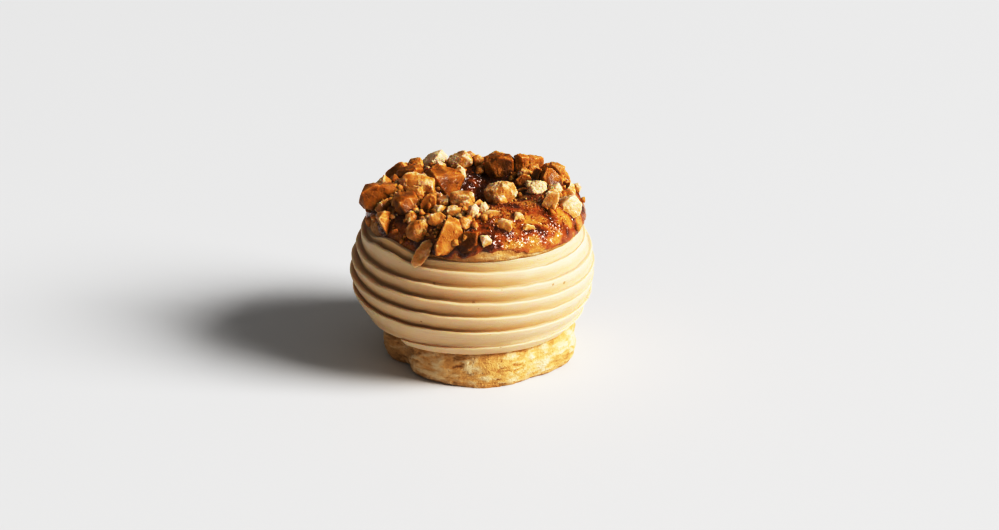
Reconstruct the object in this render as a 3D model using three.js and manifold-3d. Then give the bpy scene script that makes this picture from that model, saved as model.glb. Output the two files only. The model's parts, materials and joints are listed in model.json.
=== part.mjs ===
// A small Paris-Brest: a ring of choux pastry split in two, a spiral of praline cream piped between
// the halves, and broken caramelised hazelnuts on the glazed lid.
// Millimetres, +Z up. The origin is the middle of the underside, and the front faces -Y.
// Azimuths are in degrees from the front, positive towards +X.

import * as THREE from "three";
import { ConvexGeometry } from "three/addons/geometries/ConvexGeometry.js";
import { mergeVertices } from "three/addons/utils/BufferGeometryUtils.js";
import Module from "manifold-3d";

const wasm = await Module();
wasm.setup();

// ---------- driving dimensions ----------
// A sway is a sum of waves, each [reach, waves in a turn, start in degrees].

const CLEARANCE = 0.3; // gap that touching pieces keep
const CREAM_COLUMNS = 60; // steps round the cream
const CRUST_COLUMNS = 48; // steps round the base and the lid

const BASE = {
  shift: 2.4, // its middle lies this far to the right of the cream's
  radius: 28.8, // widest, at mid height
  height: 10.3,
  holeRadius: 9,
  topInset: 4.6, // how far the top edge rounds in
  undercut: 0.9, // how far the foot rounds in at the front and the back
  sideUndercut: 2.8, // added to it at the sides
  creases: [-58, 33, 88, 146, 205, 256], // azimuths between the piped lobes
  creaseDepths: [3.2, 1.5, 2.4, 2.8, 2.2, 2.8],
  creaseWidth: 11, // degrees
  creaseSink: 0.25, // how far the top sinks, as a share of a crease's depth
  holeRounding: 1.3, // how far the hole widens at the top and the foot
  dish: 0.4, // how much lower the top lies at the hole
  rimSway: [[0.25, 5, 40]],
};

const CREAM = {
  bottom: BASE.height + CLEARANCE,
  top: 39.1,
  widest: 25.3, // height of the widest turn
  radius: 35.4, // at the widest turn
  bottomDrop: 6.1, // how much narrower the bottom is
  topDrop: 3.5, // how much narrower the top is
  holeRadius: 7.8,
  frontLip: 13.25, // height of the lowest lip at the front, before the lean
  pitch: 5.84, // rise of the piped ribbon in its first turn
  pitchLoss: 0.31, // height lost, times the square of the turns
  stretchFrom: 3, // turns above which the ribbon is piped taller again
  stretch: 0.39, // extra height, times the square of the turns above that
  turns: 7,
  lean: 2.44, // how much lower than in their middle the turns lie on the side that they lean to
  leanAzimuth: 49,
  leanRise: 2, // how far the leaning turns lie higher on the whole
  leanFrom: [-0.6, 0.9], // turns over which the lean sets in
  tailAzimuth: -41, // where the ribbon starts
  tailFade: 5, // degrees
  tailRecess: 2.4, // how far the cream lies back where the ribbon has not begun
  recessFade: [-340, -285], // azimuths along the ribbon over which it lies back again
  lipSway: [[0.22, 3, 70]], // up and down, by azimuth
  bodySway: [[0.25, 0.73, 20]], // in and out, by degrees along the ribbon
  holeRounding: 1,
};

// One turn of the ribbon from lip to lip: share of the pitch, and how far it lies inside the lip.
const RIBBON_STEPS = [
  [0, 0],
  [0.04, 1.75],
  [0.44, 0.8],
  [0.84, 0.08],
];
const LEDGE_SHARE = RIBBON_STEPS[1][0];

const LID = {
  bottom: CREAM.top + CLEARANCE,
  shift: 1.2, // its middle lies this far to the right of the cream's
  radius: 31.2,
  crown: 50.1,
  crownRadius: 18.5,
  holeRadius: 8.8,
  holeRounding: 0.8,
  side: 1.7, // height of the upright side
  cutEdge: [[1.6, 0], [0.3, 0.6]], // the cut edge below it, as inset from the rim and height
  rimSway: [[0.45, 3, 50], [0.27, 7, 110]],
  crownSway: [[0.45, 4, 15], [0.225, 9, 200]],
};

const HOLE_HALF_WIDTH = 4.8; // the square through the middle that the hazelnuts stay out of

// Broken hazelnuts large enough to pick off one by one, the ones in front placed as they lie:
// azimuth, radius, height above the crust, [length, width, height], [turn, lean, roll], break.
const LARGE_NUTS = [
  [-81, 27.6, 1.7, [12.4, 6.4, 8.6], [10, -4, 0], "block"],
  [-52, 24.8, 1.7, [7.4, 6.6, 6.6], [16, 4, 0], "block"],
  [-15, 30.2, 1.8, [11.4, 7.8, 8.4], [24, 68, 20], "wedge"],
  [-131, 12.2, 1.0, [12.6, 8.2, 9.8], [38, 4, 0], "block"],
  [-81, 16.8, 1.7, [11.6, 6.0, 6.2], [-4, -20, 10], "block"],
  [37, 11.4, 4.6, [9.8, 6.6, 7.0], [-14, -12, 0], "half"],
  [155, 15.8, 2.2, [9.4, 7.4, 7.6], [8, 4, 0], "block"],
  [70, 27.6, 1.6, [7.8, 6.6, 6.4], [-14, -8, 0], "half"],
  [-33, 28.7, 1.3, [7.8, 6.2, 6.4], [0, -14, 0], "half"],
  [-151, 25.2, 2.4, [8.2, 6.4, 5.4], [16, 6, 0], "half"],
  [-28, 32.2, 1.6, [9.8, 3.4, 3.6], [14, 54, 0], "shard"],
  [-4, 30.5, 0.8, [7.0, 4.8, 6.8], [-6, -12, 0], "wedge"],
  [-16, 14.4, 2.4, [7.8, 5.2, 5.0], [-6, 10, 0], "block"],
  [-42, 20.2, 1.6, [6.8, 5.2, 5.2], [20, 68, 0], "wedge"],
  [-55, 30.0, 1.2, [8.4, 5.0, 4.8], [20, -68, 0], "shard"],
  [-117, 26.8, 3.0, [8.2, 5.0, 5.0], [0, 62, 0], "shard"],
  [75, 17.2, 1.6, [6.8, 5.2, 4.8], [-20, 18, 0], "half"],
  [58, 24.4, 1.8, [7.4, 5.0, 4.8], [16, 72, 0], "wedge"],
  [98, 21.8, 1.7, [6.8, 5.6, 6.4], [24, -18, 0], "wedge"],
  [141, 25.6, 2.4, [6.8, 6.2, 6.8], [40, 10, 0], "block"],
  [139, 18.8, 2.2, [7.2, 4.8, 4.8], [10, 64, 0], "block"],
  [-112, 21.0, 1.6, [7.8, 6.0, 5.8], [-24, 16, 0], "block"],
  [-99, 26.6, 1.4, [7.2, 5.8, 5.4], [30, 22, 0], "half"],
  [-174, 27.4, 1.6, [8.4, 6.4, 6.0], [30, -14, 0], "wedge"],
  [167, 27.0, 1.5, [7.8, 6.4, 5.8], [-24, 12, 0], "half"],
  [-134, 28.2, 1.2, [7.6, 5.8, 5.8], [-40, 8, 0], "block"],
  [118, 28.4, 1.2, [7.8, 6.0, 5.6], [46, -10, 0], "half"],
  [-164, 17.8, 1.6, [7.4, 5.8, 5.6], [-12, 20, 0], "block"],
];

// Smaller pieces that show in front, stuck fast in the glaze: the same fields.
const SMALL_NUTS = [
  [-105, 24.0, 1.4, [5.8, 4.4, 4.0], [0, 8, 0], "half"],
  [-135, 25.0, 1.8, [4.8, 4.4, 5.2], [30, 20, 0], "block"],
  [-62, 19.6, 1.2, [5.4, 4.6, 4.4], [-20, 20, 0], "block"],
  [-29, 21.2, 0.9, [4.7, 4.2, 3.4], [0, 0, 0], "half"],
  [-20, 31.6, 0.2, [3.8, 3.0, 3.0], [10, -10, 0], "half"],
  [-16, 22.2, 0.9, [4.2, 3.8, 4.4], [20, 10, 0], "block"],
  [-2, 23.0, 1.3, [6.0, 3.0, 3.0], [10, 80, 0], "block"],
  [-7, 26.6, 1.0, [5.2, 4.6, 5.0], [0, 14, 0], "half"],
  [-26, 25.2, 1.1, [5.8, 4.8, 4.8], [30, 30, 0], "wedge"],
  [-9, 17.8, 1.0, [4.6, 4.2, 4.0], [10, 10, 0], "block"],
  [-43, 26.8, 0.9, [5.2, 4.6, 4.4], [0, 20, 0], "half"],
  [-68, 27.4, 1.0, [6.0, 4.8, 4.8], [40, 10, 0], "wedge"],
  [-34, 15.4, 1.2, [5.0, 4.2, 4.4], [15, 25, 0], "block"],
  [7, 19.4, 0.9, [4.4, 3.8, 3.6], [60, 10, 0], "half"],
  [12, 22.8, 0.8, [6.4, 3.4, 2.6], [-4, -4, 0], "shard"],
  [24, 16.8, 1.0, [4.5, 4.0, 3.8], [0, 16, 0], "half"],
  [16, 27.6, 0.9, [5.0, 3.6, 4.4], [10, 60, 0], "wedge"],
  [6, 30.7, 0.6, [5.2, 3.2, 3.4], [0, -80, 0], "shard"],
  [27, 25.4, 0.6, [3.8, 3.2, 3.2], [0, 30, 0], "half"],
  [32, 29.0, 0.6, [5.8, 2.8, 2.8], [10, -34, 0], "shard"],
  [107, 13.8, 1.4, [5.4, 4.4, 4.4], [30, 20, 0], "wedge"],
  [80, 22.8, 1.4, [5.4, 4.8, 4.8], [0, 16, 0], "half"],
  [116, 25.2, 1.9, [6.2, 4.6, 4.8], [0, 70, 0], "block"],
  [85, 26.6, 1.3, [5.8, 3.6, 3.6], [0, 78, 0], "block"],
  [128, 26.6, 2.0, [5.4, 5.0, 5.2], [20, 30, 0], "wedge"],
  [165, 22.2, 2.3, [5.8, 4.6, 4.6], [10, 6, 0], "block"],
  [-172, 22.4, 1.6, [4.9, 4.4, 4.0], [0, 10, 0], "half"],
  [180, 18.2, 1.4, [5.0, 4.4, 4.6], [0, 30, 0], "half"],
  [123, 20.0, 1.5, [4.6, 3.8, 2.8], [0, -10, 0], "shard"],
];

// Crumbs scattered over the rest of the lid by a rule.
const SCATTER = {
  seed: 41,
  count: 34,
  tries: 6000,
  innerRadius: 12.5,
  outerRadius: 29.6,
  smallest: 3.8,
  largest: 6.2,
  crowding: 0.6, // below 1 there are more of them towards the rim
  spacing: 0.74, // centres stay this share of their mean sizes apart
  width: 0.8, // as a share of the length
  height: 0.75,
  lift: 0.25,
  lean: 30, // degrees, at most
  bareFrom: 2, // azimuths of the glaze that is left bare
  bareTo: 66,
};

const CHUNK = {
  largePoints: 26, // corners that a chunk is shaped from
  smallPoints: 14,
  bumps: 0.16, // unevenness of its round side, as a share of its radius
  skew: 0.5, // how far the broken faces stray from their kind's
  depthRange: [0.9, 1.1], // share of their kind's distance from the middle
  settleStep: 0.25,
  settleSteps: 30,
  contact: 0.4, // cubic millimetres that it sinks into what holds it
};

const CRUST_COLOUR = 0xd9a557;
const LID_COLOUR = 0xb06a2c;
const CREAM_COLOUR = 0xe6c99a;
const NUT_COLOUR = 0xc98a3c;

// ---------- small helpers ----------

const radians = THREE.MathUtils.degToRad;

/** The same stream of numbers from 0 to 1 for the same seed. */
function seededStream(seed) {
  let state = seed;
  return () => {
    state = (state + 0x6d2b79f5) | 0;
    let mixed = Math.imul(state ^ (state >>> 15), 1 | state);
    mixed = (mixed + Math.imul(mixed ^ (mixed >>> 7), 61 | mixed)) ^ mixed;
    return ((mixed ^ (mixed >>> 14)) >>> 0) / 4294967296;
  };
}

function onAzimuth(azimuth, radius, height) {
  const angle = radians(azimuth);
  return new THREE.Vector3(radius * Math.sin(angle), -radius * Math.cos(angle), height);
}

/** A sway's value at an angle. */
function swayAt(sway, angle) {
  return sway.reduce((sum, [reach, waves, start]) => {
    return sum + reach * Math.sin(radians(waves * angle + start));
  }, 0);
}

/** Signed difference of two azimuths, from -180 to 180. */
function azimuthGap(a, b) {
  return THREE.MathUtils.euclideanModulo(a - b + 180, 360) - 180;
}

/** A geometry as a manifold solid, with its equal corners merged and its collapsed faces dropped. */
function solidOf(geometry) {
  const bare = new THREE.BufferGeometry();
  bare.setAttribute("position", geometry.getAttribute("position"));
  bare.setIndex(geometry.getIndex());
  const merged = mergeVertices(bare, 1e-5);
  const corners = merged.index.array;
  const kept = [];
  for (let i = 0; i < corners.length; i += 3) {
    const [a, b, c] = [corners[i], corners[i + 1], corners[i + 2]];
    if (a !== b && b !== c && c !== a) kept.push(a, b, c);
  }
  return new wasm.Manifold(
    new wasm.Mesh({
      numProp: 3,
      vertProperties: merged.attributes.position.array,
      triVerts: new Uint32Array(kept),
    }),
  );
}

/** The largest body of a solid, without the scraps that cutting left. */
function largestBody(solid) {
  const bodies = solid.decompose();
  return bodies.reduce((best, body) => (body.volume() > best.volume() ? body : best));
}

function meshOf(name, solid, colour, roughness) {
  const { numProp, vertProperties, triVerts } = solid.getMesh();
  const positions = new Float32Array((vertProperties.length / numProp) * 3);
  for (let i = 0; i < positions.length / 3; i++) {
    positions.set(vertProperties.subarray(i * numProp, i * numProp + 3), i * 3);
  }
  const geometry = new THREE.BufferGeometry();
  geometry.setAttribute("position", new THREE.BufferAttribute(positions, 3));
  geometry.setIndex(new THREE.BufferAttribute(triVerts, 1));
  geometry.computeVertexNormals();
  const material = new THREE.MeshStandardMaterial({ color: colour, roughness, metalness: 0 });
  const mesh = new THREE.Mesh(geometry, material);
  mesh.name = name;
  return mesh;
}

// ---------- rings ----------

/** A closed section, [radius, height] points anticlockwise, moved outwards by a distance. */
function offsetLoop(loop, distance) {
  if (distance === 0) return loop;
  return loop.map(([r, z], i) => {
    const before = loop[(i + loop.length - 1) % loop.length];
    const after = loop[(i + 1) % loop.length];
    const run = new THREE.Vector2(after[0] - before[0], after[1] - before[1]).normalize();
    return [r + run.y * distance, z - run.x * distance];
  });
}

/**
 * A ring whose section at each azimuth is loopAt(azimuth), an anticlockwise list of
 * [radius, height]. Where the section climbs like a screw, its points from first to last move up
 * by shift places in one turn, so the last column meets the first one that many points higher.
 */
function ringSolid(columnCount, loopAt, screw = null) {
  const columns = [];
  for (let j = 0; j < columnCount; j++) {
    const azimuth = -180 + (360 * j) / columnCount;
    columns.push(loopAt(azimuth).map(([r, z]) => onAzimuth(azimuth, r, z)));
  }
  const closing = columns[0].map((point, i) => {
    if (!screw || i < screw.first || i > screw.last) return point;
    return columns[0][Math.min(i + screw.shift, screw.last)];
  });
  columns.push(closing);
  const positions = [];
  const rows = columns[0].length;
  for (let j = 0; j < columnCount; j++) {
    for (let i = 0; i < rows; i++) {
      const next = (i + 1) % rows;
      const [a, b] = [columns[j][i], columns[j][next]];
      const [d, c] = [columns[j + 1][i], columns[j + 1][next]];
      for (const corner of [a, d, b, d, c, b]) positions.push(...corner.toArray());
    }
  }
  const geometry = new THREE.BufferGeometry();
  geometry.setAttribute("position", new THREE.Float32BufferAttribute(positions, 3));
  return solidOf(geometry);
}

// ---------- choux base ----------

/** How deep the creases between the piped lobes cut in at an azimuth. */
function baseCrease(azimuth) {
  return BASE.creases.reduce((depth, crease, i) => {
    const away = azimuthGap(azimuth, crease) / BASE.creaseWidth;
    return depth + BASE.creaseDepths[i] * Math.exp(-away * away);
  }, 0);
}

function baseLoop(azimuth) {
  const crease = baseCrease(azimuth);
  const widest = BASE.radius - crease + swayAt(BASE.rimSway, azimuth);
  const undercut = BASE.undercut + BASE.sideUndercut * Math.abs(Math.sin(radians(azimuth)));
  const top = BASE.height - BASE.creaseSink * crease;
  const middle = 0.5 * BASE.height;
  const holeEnd = BASE.holeRadius + BASE.holeRounding;
  const loop = [[holeEnd, 0]];
  for (let slope = -90; slope <= 90; slope += 22.5) {
    const across = 1 - Math.cos(radians(slope)) ** 0.8;
    const up = Math.sin(radians(slope));
    const inset = slope < 0 ? undercut : BASE.topInset;
    const reach = up < 0 ? middle : top - middle;
    loop.push([widest - inset * across, middle + reach * up]);
  }
  loop.push([holeEnd, BASE.height - BASE.dish]);
  loop.push([BASE.holeRadius, middle]);
  return loop;
}

// ---------- praline cream ----------

/** Radius of the piped barrel, through its lips, at a height. */
function creamEnvelope(height) {
  if (height < CREAM.widest) {
    const away = (CREAM.widest - height) / (CREAM.widest - CREAM.bottom);
    return CREAM.radius - CREAM.bottomDrop * away ** 2.2;
  }
  const away = (height - CREAM.widest) / (CREAM.top - CREAM.widest);
  return CREAM.radius - CREAM.topDrop * away ** 2;
}

/** Height of a place on the ribbon, given in turns from the lowest lip at the front. */
function ribbonHeight(rise, azimuth) {
  const stretched = Math.max(0, rise - CREAM.stretchFrom);
  const bend = CREAM.stretch * stretched ** 2 - CREAM.pitchLoss * rise ** 2;
  const leaning = THREE.MathUtils.smoothstep(rise, ...CREAM.leanFrom);
  const slope = CREAM.leanRise - CREAM.lean * Math.cos(radians(azimuth - CREAM.leanAzimuth));
  const sway = swayAt(CREAM.lipSway, azimuth);
  return CREAM.frontLip + CREAM.pitch * rise + bend + leaning * slope + sway;
}

/** How far the cream lies back, where the lowest ribbon has not begun; along is in degrees. */
function tailRecess(along) {
  const { tailAzimuth, tailFade, recessFade } = CREAM;
  const begun = THREE.MathUtils.smoothstep(along, tailAzimuth - tailFade, tailAzimuth);
  const back = THREE.MathUtils.smoothstep(along, recessFade[0], recessFade[1]);
  return CREAM.tailRecess * (1 - begun) * back;
}

function creamLoop(azimuth, clearance) {
  const outer = [];
  for (let turn = -2; turn <= CREAM.turns; turn++) {
    for (const [share, inset] of RIBBON_STEPS) {
      // The face under a lip and the ledge over it belong to that lip's ribbon.
      const ribbon = share > LEDGE_SHARE ? turn + 1 : turn;
      const along = 360 * ribbon + azimuth;
      const height = ribbonHeight(turn + share + azimuth / 360, azimuth);
      const lip = creamEnvelope(THREE.MathUtils.clamp(height, CREAM.bottom, CREAM.top));
      const drift = swayAt(CREAM.bodySway, along);
      outer.push([lip - inset + drift - tailRecess(along), height]);
    }
  }
  // Points past the ends gather where the wall meets the flat.
  const first = outer.findIndex(([, height]) => height > CREAM.bottom);
  const after = outer.findIndex(([, height]) => height >= CREAM.top);
  const foot = radiusBetween(outer[first - 1], outer[first], CREAM.bottom);
  const brim = radiusBetween(outer[after - 1], outer[after], CREAM.top);
  const wall = outer.map((point, i) => {
    if (i < first) return [foot, CREAM.bottom];
    return i < after ? point : [brim, CREAM.top];
  });
  const holeEnd = CREAM.holeRadius + CREAM.holeRounding;
  const loop = [
    [holeEnd, CREAM.bottom],
    ...wall,
    [holeEnd, CREAM.top],
    [CREAM.holeRadius, 0.5 * (CREAM.bottom + CREAM.top)],
  ];
  return clearance ? swollenCream(loop, clearance) : loop;
}

/** Radius at a height on the straight line between two [radius, height] points. */
function radiusBetween([r0, z0], [r1, z1], height) {
  return THREE.MathUtils.mapLinear(height, z0, z1, r0, r1);
}

/** The cream's section grown outwards and upwards by a clearance. */
function swollenCream(loop, clearance) {
  return loop.map(([radius, height], i) => {
    const wall = i > 0 && i < loop.length - 2;
    const raised = height >= CREAM.top ? height + clearance : height;
    return [wall ? radius + clearance : radius, raised];
  });
}

function creamSolid(clearance = 0) {
  const last = creamLoop(0, 0).length - 3;
  const screw = { first: 1, last, shift: RIBBON_STEPS.length };
  return ringSolid(CREAM_COLUMNS, (azimuth) => creamLoop(azimuth, clearance), screw);
}

// ---------- choux lid ----------

function lidLoop(azimuth, clearance) {
  const rim = LID.radius + swayAt(LID.rimSway, azimuth);
  const crown = LID.crown + swayAt(LID.crownSway, azimuth);
  const shoulder = LID.bottom + LID.side;
  const loop = [[LID.holeRadius + LID.holeRounding, LID.bottom]];
  for (const [inset, height] of LID.cutEdge) loop.push([rim - inset, LID.bottom + height]);
  for (let slope = 0; slope < 90; slope += 18) {
    const across = 1 - Math.cos(radians(slope)) ** 1.1;
    const up = Math.sin(radians(slope));
    const radius = rim - (rim - LID.crownRadius) * across;
    loop.push([radius, shoulder + (crown - shoulder) * up]);
  }
  for (let slope = 90; slope >= 0; slope -= 22.5) {
    const across = 1 - Math.cos(radians(slope)) ** 0.9;
    const up = Math.sin(radians(slope));
    const radius = LID.holeRadius + (LID.crownRadius - LID.holeRadius) * across;
    loop.push([radius, shoulder + (crown - shoulder) * up]);
  }
  return offsetLoop(loop, clearance);
}

/** Height of the lid's crust above a point of its plan. */
function crustHeight(azimuth, radius) {
  const dome = lidLoop(azimuth, 0).slice(1 + LID.cutEdge.length).reverse();
  const outer = dome.findIndex(([r]) => r >= radius);
  if (outer < 1) return LID.bottom;
  return heightBetween(dome[outer - 1], dome[outer], radius);
}

/** Height at a radius on the straight line between two [radius, height] points. */
function heightBetween([r0, z0], [r1, z1], radius) {
  return THREE.MathUtils.mapLinear(radius, r0, r1, z0, z1);
}

// ---------- broken hazelnuts ----------

// Each way of breaking: flat faces as [normal x, y, z, share of the radius they lie out at].
const BREAKS = {
  block: [
    [1, 0.1, 0.1, 0.7],
    [-1, 0.15, 0, 0.72],
    [0.1, 1, 0.05, 0.62],
    [0, -1, 0.2, 0.6],
    [0.1, 0, 1, 0.56],
    [0, 0.1, -1, 0.55],
  ],
  wedge: [
    [0.15, 0.75, 0.62, 0.34],
    [-0.1, -0.8, 0.55, 0.36],
    [0.9, 0, 0.3, 0.68],
    [0, 0.1, -1, 0.45],
  ],
  half: [
    [0.2, 0.1, -1, 0.25],
    [0.75, -0.6, 0.3, 0.6],
    [-0.6, -0.3, 0.75, 0.68],
  ],
  shard: [
    [0, 0.9, 0.45, 0.3],
    [0.1, -0.85, 0.5, 0.34],
    [0, 0.1, -1, 0.3],
  ],
};

/** A hazelnut's round body with flat broken faces, length along X, in its own frame. */
function chunkPoints(kind, size, pointCount, random) {
  const planes = BREAKS[kind].map(([x, y, z, distance]) => {
    const skew = () => CHUNK.skew * (random() - 0.5);
    const normal = new THREE.Vector3(x + skew(), y + skew(), z + skew()).normalize();
    return { normal, distance: distance * THREE.MathUtils.lerp(...CHUNK.depthRange, random()) };
  });
  const golden = Math.PI * (3 - Math.sqrt(5));
  const twist = 2 * Math.PI * random();
  const points = [];
  for (let i = 0; i < pointCount; i++) {
    const z = 1 - (2 * i + 1) / pointCount;
    const across = Math.sqrt(1 - z * z);
    const turn = golden * i + twist;
    const point = new THREE.Vector3(across * Math.cos(turn), across * Math.sin(turn), z);
    point.multiplyScalar(1 + CHUNK.bumps * (random() - 0.5));
    for (const { normal, distance } of planes) {
      const over = point.dot(normal) - distance;
      if (over > 0) point.addScaledVector(normal, -over);
    }
    points.push(point);
  }
  const box = new THREE.Box3().setFromPoints(points);
  const middle = box.getCenter(new THREE.Vector3());
  const span = box.getSize(new THREE.Vector3());
  const scale = new THREE.Vector3(...size).divide(span);
  return points.map((point) => point.sub(middle).multiply(scale));
}

/** A chunk as a solid, grown on all sides by a clearance. */
function chunkSolid(points, matrix, clearance = 0) {
  const box = new THREE.Box3().setFromPoints(points);
  const span = box.getSize(new THREE.Vector3());
  const grow = span.clone().addScalar(2 * clearance).divide(span);
  const placed = points.map((point) => point.clone().multiply(grow).applyMatrix4(matrix));
  return solidOf(new ConvexGeometry(placed));
}

function placement(azimuth, radius, height, [turn, lean, roll]) {
  const spin = new THREE.Quaternion().setFromEuler(
    new THREE.Euler(radians(roll), -radians(lean), radians(turn), "ZYX"),
  );
  const spot = onAzimuth(azimuth, radius, height);
  return new THREE.Matrix4().compose(spot, spin, new THREE.Vector3(1, 1, 1));
}

/** A chunk lowered until it meets the crust or a piece that lies there already. */
function settledChunk(spec, pointCount, random, supports) {
  const [azimuth, radius, lift, size, pose, kind] = spec;
  const points = chunkPoints(kind, size, pointCount, random);
  const highest = crustHeight(azimuth, radius) + lift;
  const matrixAt = (step) => placement(azimuth, radius, highest - step * CHUNK.settleStep, pose);
  const held = (step) => {
    const solid = chunkSolid(points, matrixAt(step));
    return supports.some((support) => support.intersect(solid).volume() > CHUNK.contact);
  };
  let step = 0;
  while (step < CHUNK.settleSteps && !held(step)) step++;
  const matrix = matrixAt(step);
  return { solid: chunkSolid(points, matrix), swollen: chunkSolid(points, matrix, CLEARANCE) };
}

/** Adds small pieces by rule where the lid is still free. */
function scatteredNuts(random) {
  const taken = [...LARGE_NUTS, ...SMALL_NUTS].map(([azimuth, radius, , size]) => {
    return { spot: onAzimuth(azimuth, radius, 0), length: 0.5 * (size[0] + size[1]) };
  });
  const kinds = Object.keys(BREAKS);
  const added = [];
  for (let tries = 0; tries < SCATTER.tries && added.length < SCATTER.count; tries++) {
    const azimuth = -180 + 360 * random();
    const share = random() ** SCATTER.crowding;
    const radius = THREE.MathUtils.lerp(SCATTER.innerRadius, SCATTER.outerRadius, share);
    const length = THREE.MathUtils.lerp(SCATTER.smallest, SCATTER.largest, random());
    const kind = kinds[Math.floor(kinds.length * random())];
    const pose = [360 * random(), 2 * SCATTER.lean * (random() - 0.5), 0];
    const bare = azimuth > SCATTER.bareFrom && azimuth < SCATTER.bareTo;
    const spot = onAzimuth(azimuth, radius, 0);
    const crowded = taken.some((other) => {
      return other.spot.distanceTo(spot) < 0.5 * SCATTER.spacing * (other.length + length);
    });
    if (bare || crowded) continue;
    taken.push({ spot, length });
    const size = [length, SCATTER.width * length, SCATTER.height * length];
    added.push([azimuth, radius, SCATTER.lift * length, size, pose, kind]);
  }
  return added;
}

/** The column through the pastry's middle that stays open, in the lid's own frame. */
function openColumn() {
  const width = 2 * HOLE_HALF_WIDTH;
  const column = new THREE.BoxGeometry(width, width, 2 * LID.crown);
  column.translate(-LID.shift, 0, LID.crown);
  return solidOf(column);
}

// ---------- assembly ----------

const random = seededStream(SCATTER.seed);
const column = openColumn();
const cream = creamSolid();
const creamClear = creamSolid(CLEARANCE).translate([-LID.shift, 0, 0]);
const lidBody = ringSolid(CRUST_COLUMNS, (azimuth) => lidLoop(azimuth, 0));
const lidClear = ringSolid(CRUST_COLUMNS, (azimuth) => lidLoop(azimuth, CLEARANCE));

const largeNuts = [];
const occupied = [];
for (const spec of LARGE_NUTS) {
  const { solid, swollen } = settledChunk(spec, CHUNK.largePoints, random, [lidClear, ...occupied]);
  const cut = [lidClear, creamClear, column, ...occupied].reduce(
    (rest, other) => rest.subtract(other),
    solid,
  );
  largeNuts.push(largestBody(cut));
  occupied.push(swollen);
}

const crumbs = [...SMALL_NUTS, ...scatteredNuts(random)].map((spec) => {
  const { solid } = settledChunk(spec, CHUNK.smallPoints, random, [lidBody]);
  return [creamClear, column, ...occupied].reduce((rest, other) => rest.subtract(other), solid);
});
const lid = largestBody(crumbs.reduce((whole, crumb) => whole.add(crumb), lidBody));

const base = meshOf("choux_base", ringSolid(CRUST_COLUMNS, baseLoop), CRUST_COLOUR, 0.75);
base.position.x = BASE.shift;

const top = new THREE.Group();
top.position.x = LID.shift;
top.add(meshOf("choux_lid", lid, LID_COLOUR, 0.35));
largeNuts.forEach((nut, i) => {
  const number = String(i + 1).padStart(2, "0");
  top.add(meshOf(`hazelnut_${number}`, nut, NUT_COLOUR, 0.35));
});

const parisBrest = new THREE.Group();
parisBrest.name = "paris_brest";
parisBrest.add(base, meshOf("praline_cream", cream, CREAM_COLOUR, 0.5), top);

export default parisBrest;
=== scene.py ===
"""A small Paris-Brest, dressed piece by piece around its solids.

Metres, +Z up, the front faces -Y. Azimuths are in degrees from the front, positive towards +X.
Sections are worked out in millimetres, as the solids are, and turned into metres when placed.
"""

import json
import math
import random

import bpy
import numpy as np
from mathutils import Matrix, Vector, noise
from mathutils.bvhtree import BVHTree

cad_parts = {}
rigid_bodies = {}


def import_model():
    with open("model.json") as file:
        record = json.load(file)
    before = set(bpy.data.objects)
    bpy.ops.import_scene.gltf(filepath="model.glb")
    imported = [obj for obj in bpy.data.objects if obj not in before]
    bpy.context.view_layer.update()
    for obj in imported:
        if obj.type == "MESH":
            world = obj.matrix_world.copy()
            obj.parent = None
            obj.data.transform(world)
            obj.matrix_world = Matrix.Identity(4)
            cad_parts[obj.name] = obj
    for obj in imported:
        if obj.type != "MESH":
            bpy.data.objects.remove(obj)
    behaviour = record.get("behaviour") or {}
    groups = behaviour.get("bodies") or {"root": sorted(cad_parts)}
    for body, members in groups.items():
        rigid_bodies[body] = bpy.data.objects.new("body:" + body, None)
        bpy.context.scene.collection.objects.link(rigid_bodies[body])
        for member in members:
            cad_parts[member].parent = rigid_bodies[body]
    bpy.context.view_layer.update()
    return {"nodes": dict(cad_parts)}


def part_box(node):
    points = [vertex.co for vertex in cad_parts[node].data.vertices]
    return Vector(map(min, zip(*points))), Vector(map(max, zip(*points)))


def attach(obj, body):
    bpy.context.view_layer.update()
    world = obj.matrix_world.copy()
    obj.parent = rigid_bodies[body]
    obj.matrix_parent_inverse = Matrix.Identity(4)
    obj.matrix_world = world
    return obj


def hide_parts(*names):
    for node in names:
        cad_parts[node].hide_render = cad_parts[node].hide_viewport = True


bl_info = {
    "name": "Paris-Brest",
    "version": (1, 0, 0),
    "blender": (4, 5, 0),
    "location": "3D View > Sidebar > Pastry",
    "description": "Choux ring with piped praline cream and broken hazelnuts",
    "category": "Add Mesh",
}

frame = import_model()
NODES = frame["nodes"]
MM = 0.001
BODY = "root"

CREAM_LOW, CREAM_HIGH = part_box("praline_cream")
BASE_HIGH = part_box("choux_base")[1]
LID_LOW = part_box("choux_lid")[0]

# ---------- sizes that the solids share, in millimetres ----------

BASE = {
    "shift": 2.4,
    "radius": 28.8,
    "height": BASE_HIGH.z / MM,
    "hole": 9.0,
    "hole_end": 10.3,
    "dish": 0.4,
    "top_inset": 4.6,
    "undercut": 0.9,
    "side_undercut": 2.8,
    "creases": ((-58, 3.2), (33, 1.5), (88, 2.4), (146, 2.8), (205, 2.2), (256, 2.8)),
    "crease_width": 11.0,
    "crease_sink": 0.25,
    "rim_sway": ((0.25, 5, 40),),
    "roundness": 0.8,
    "flat": 0.75,  # share of the way from the outer edge to the hole's middle
}

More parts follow.
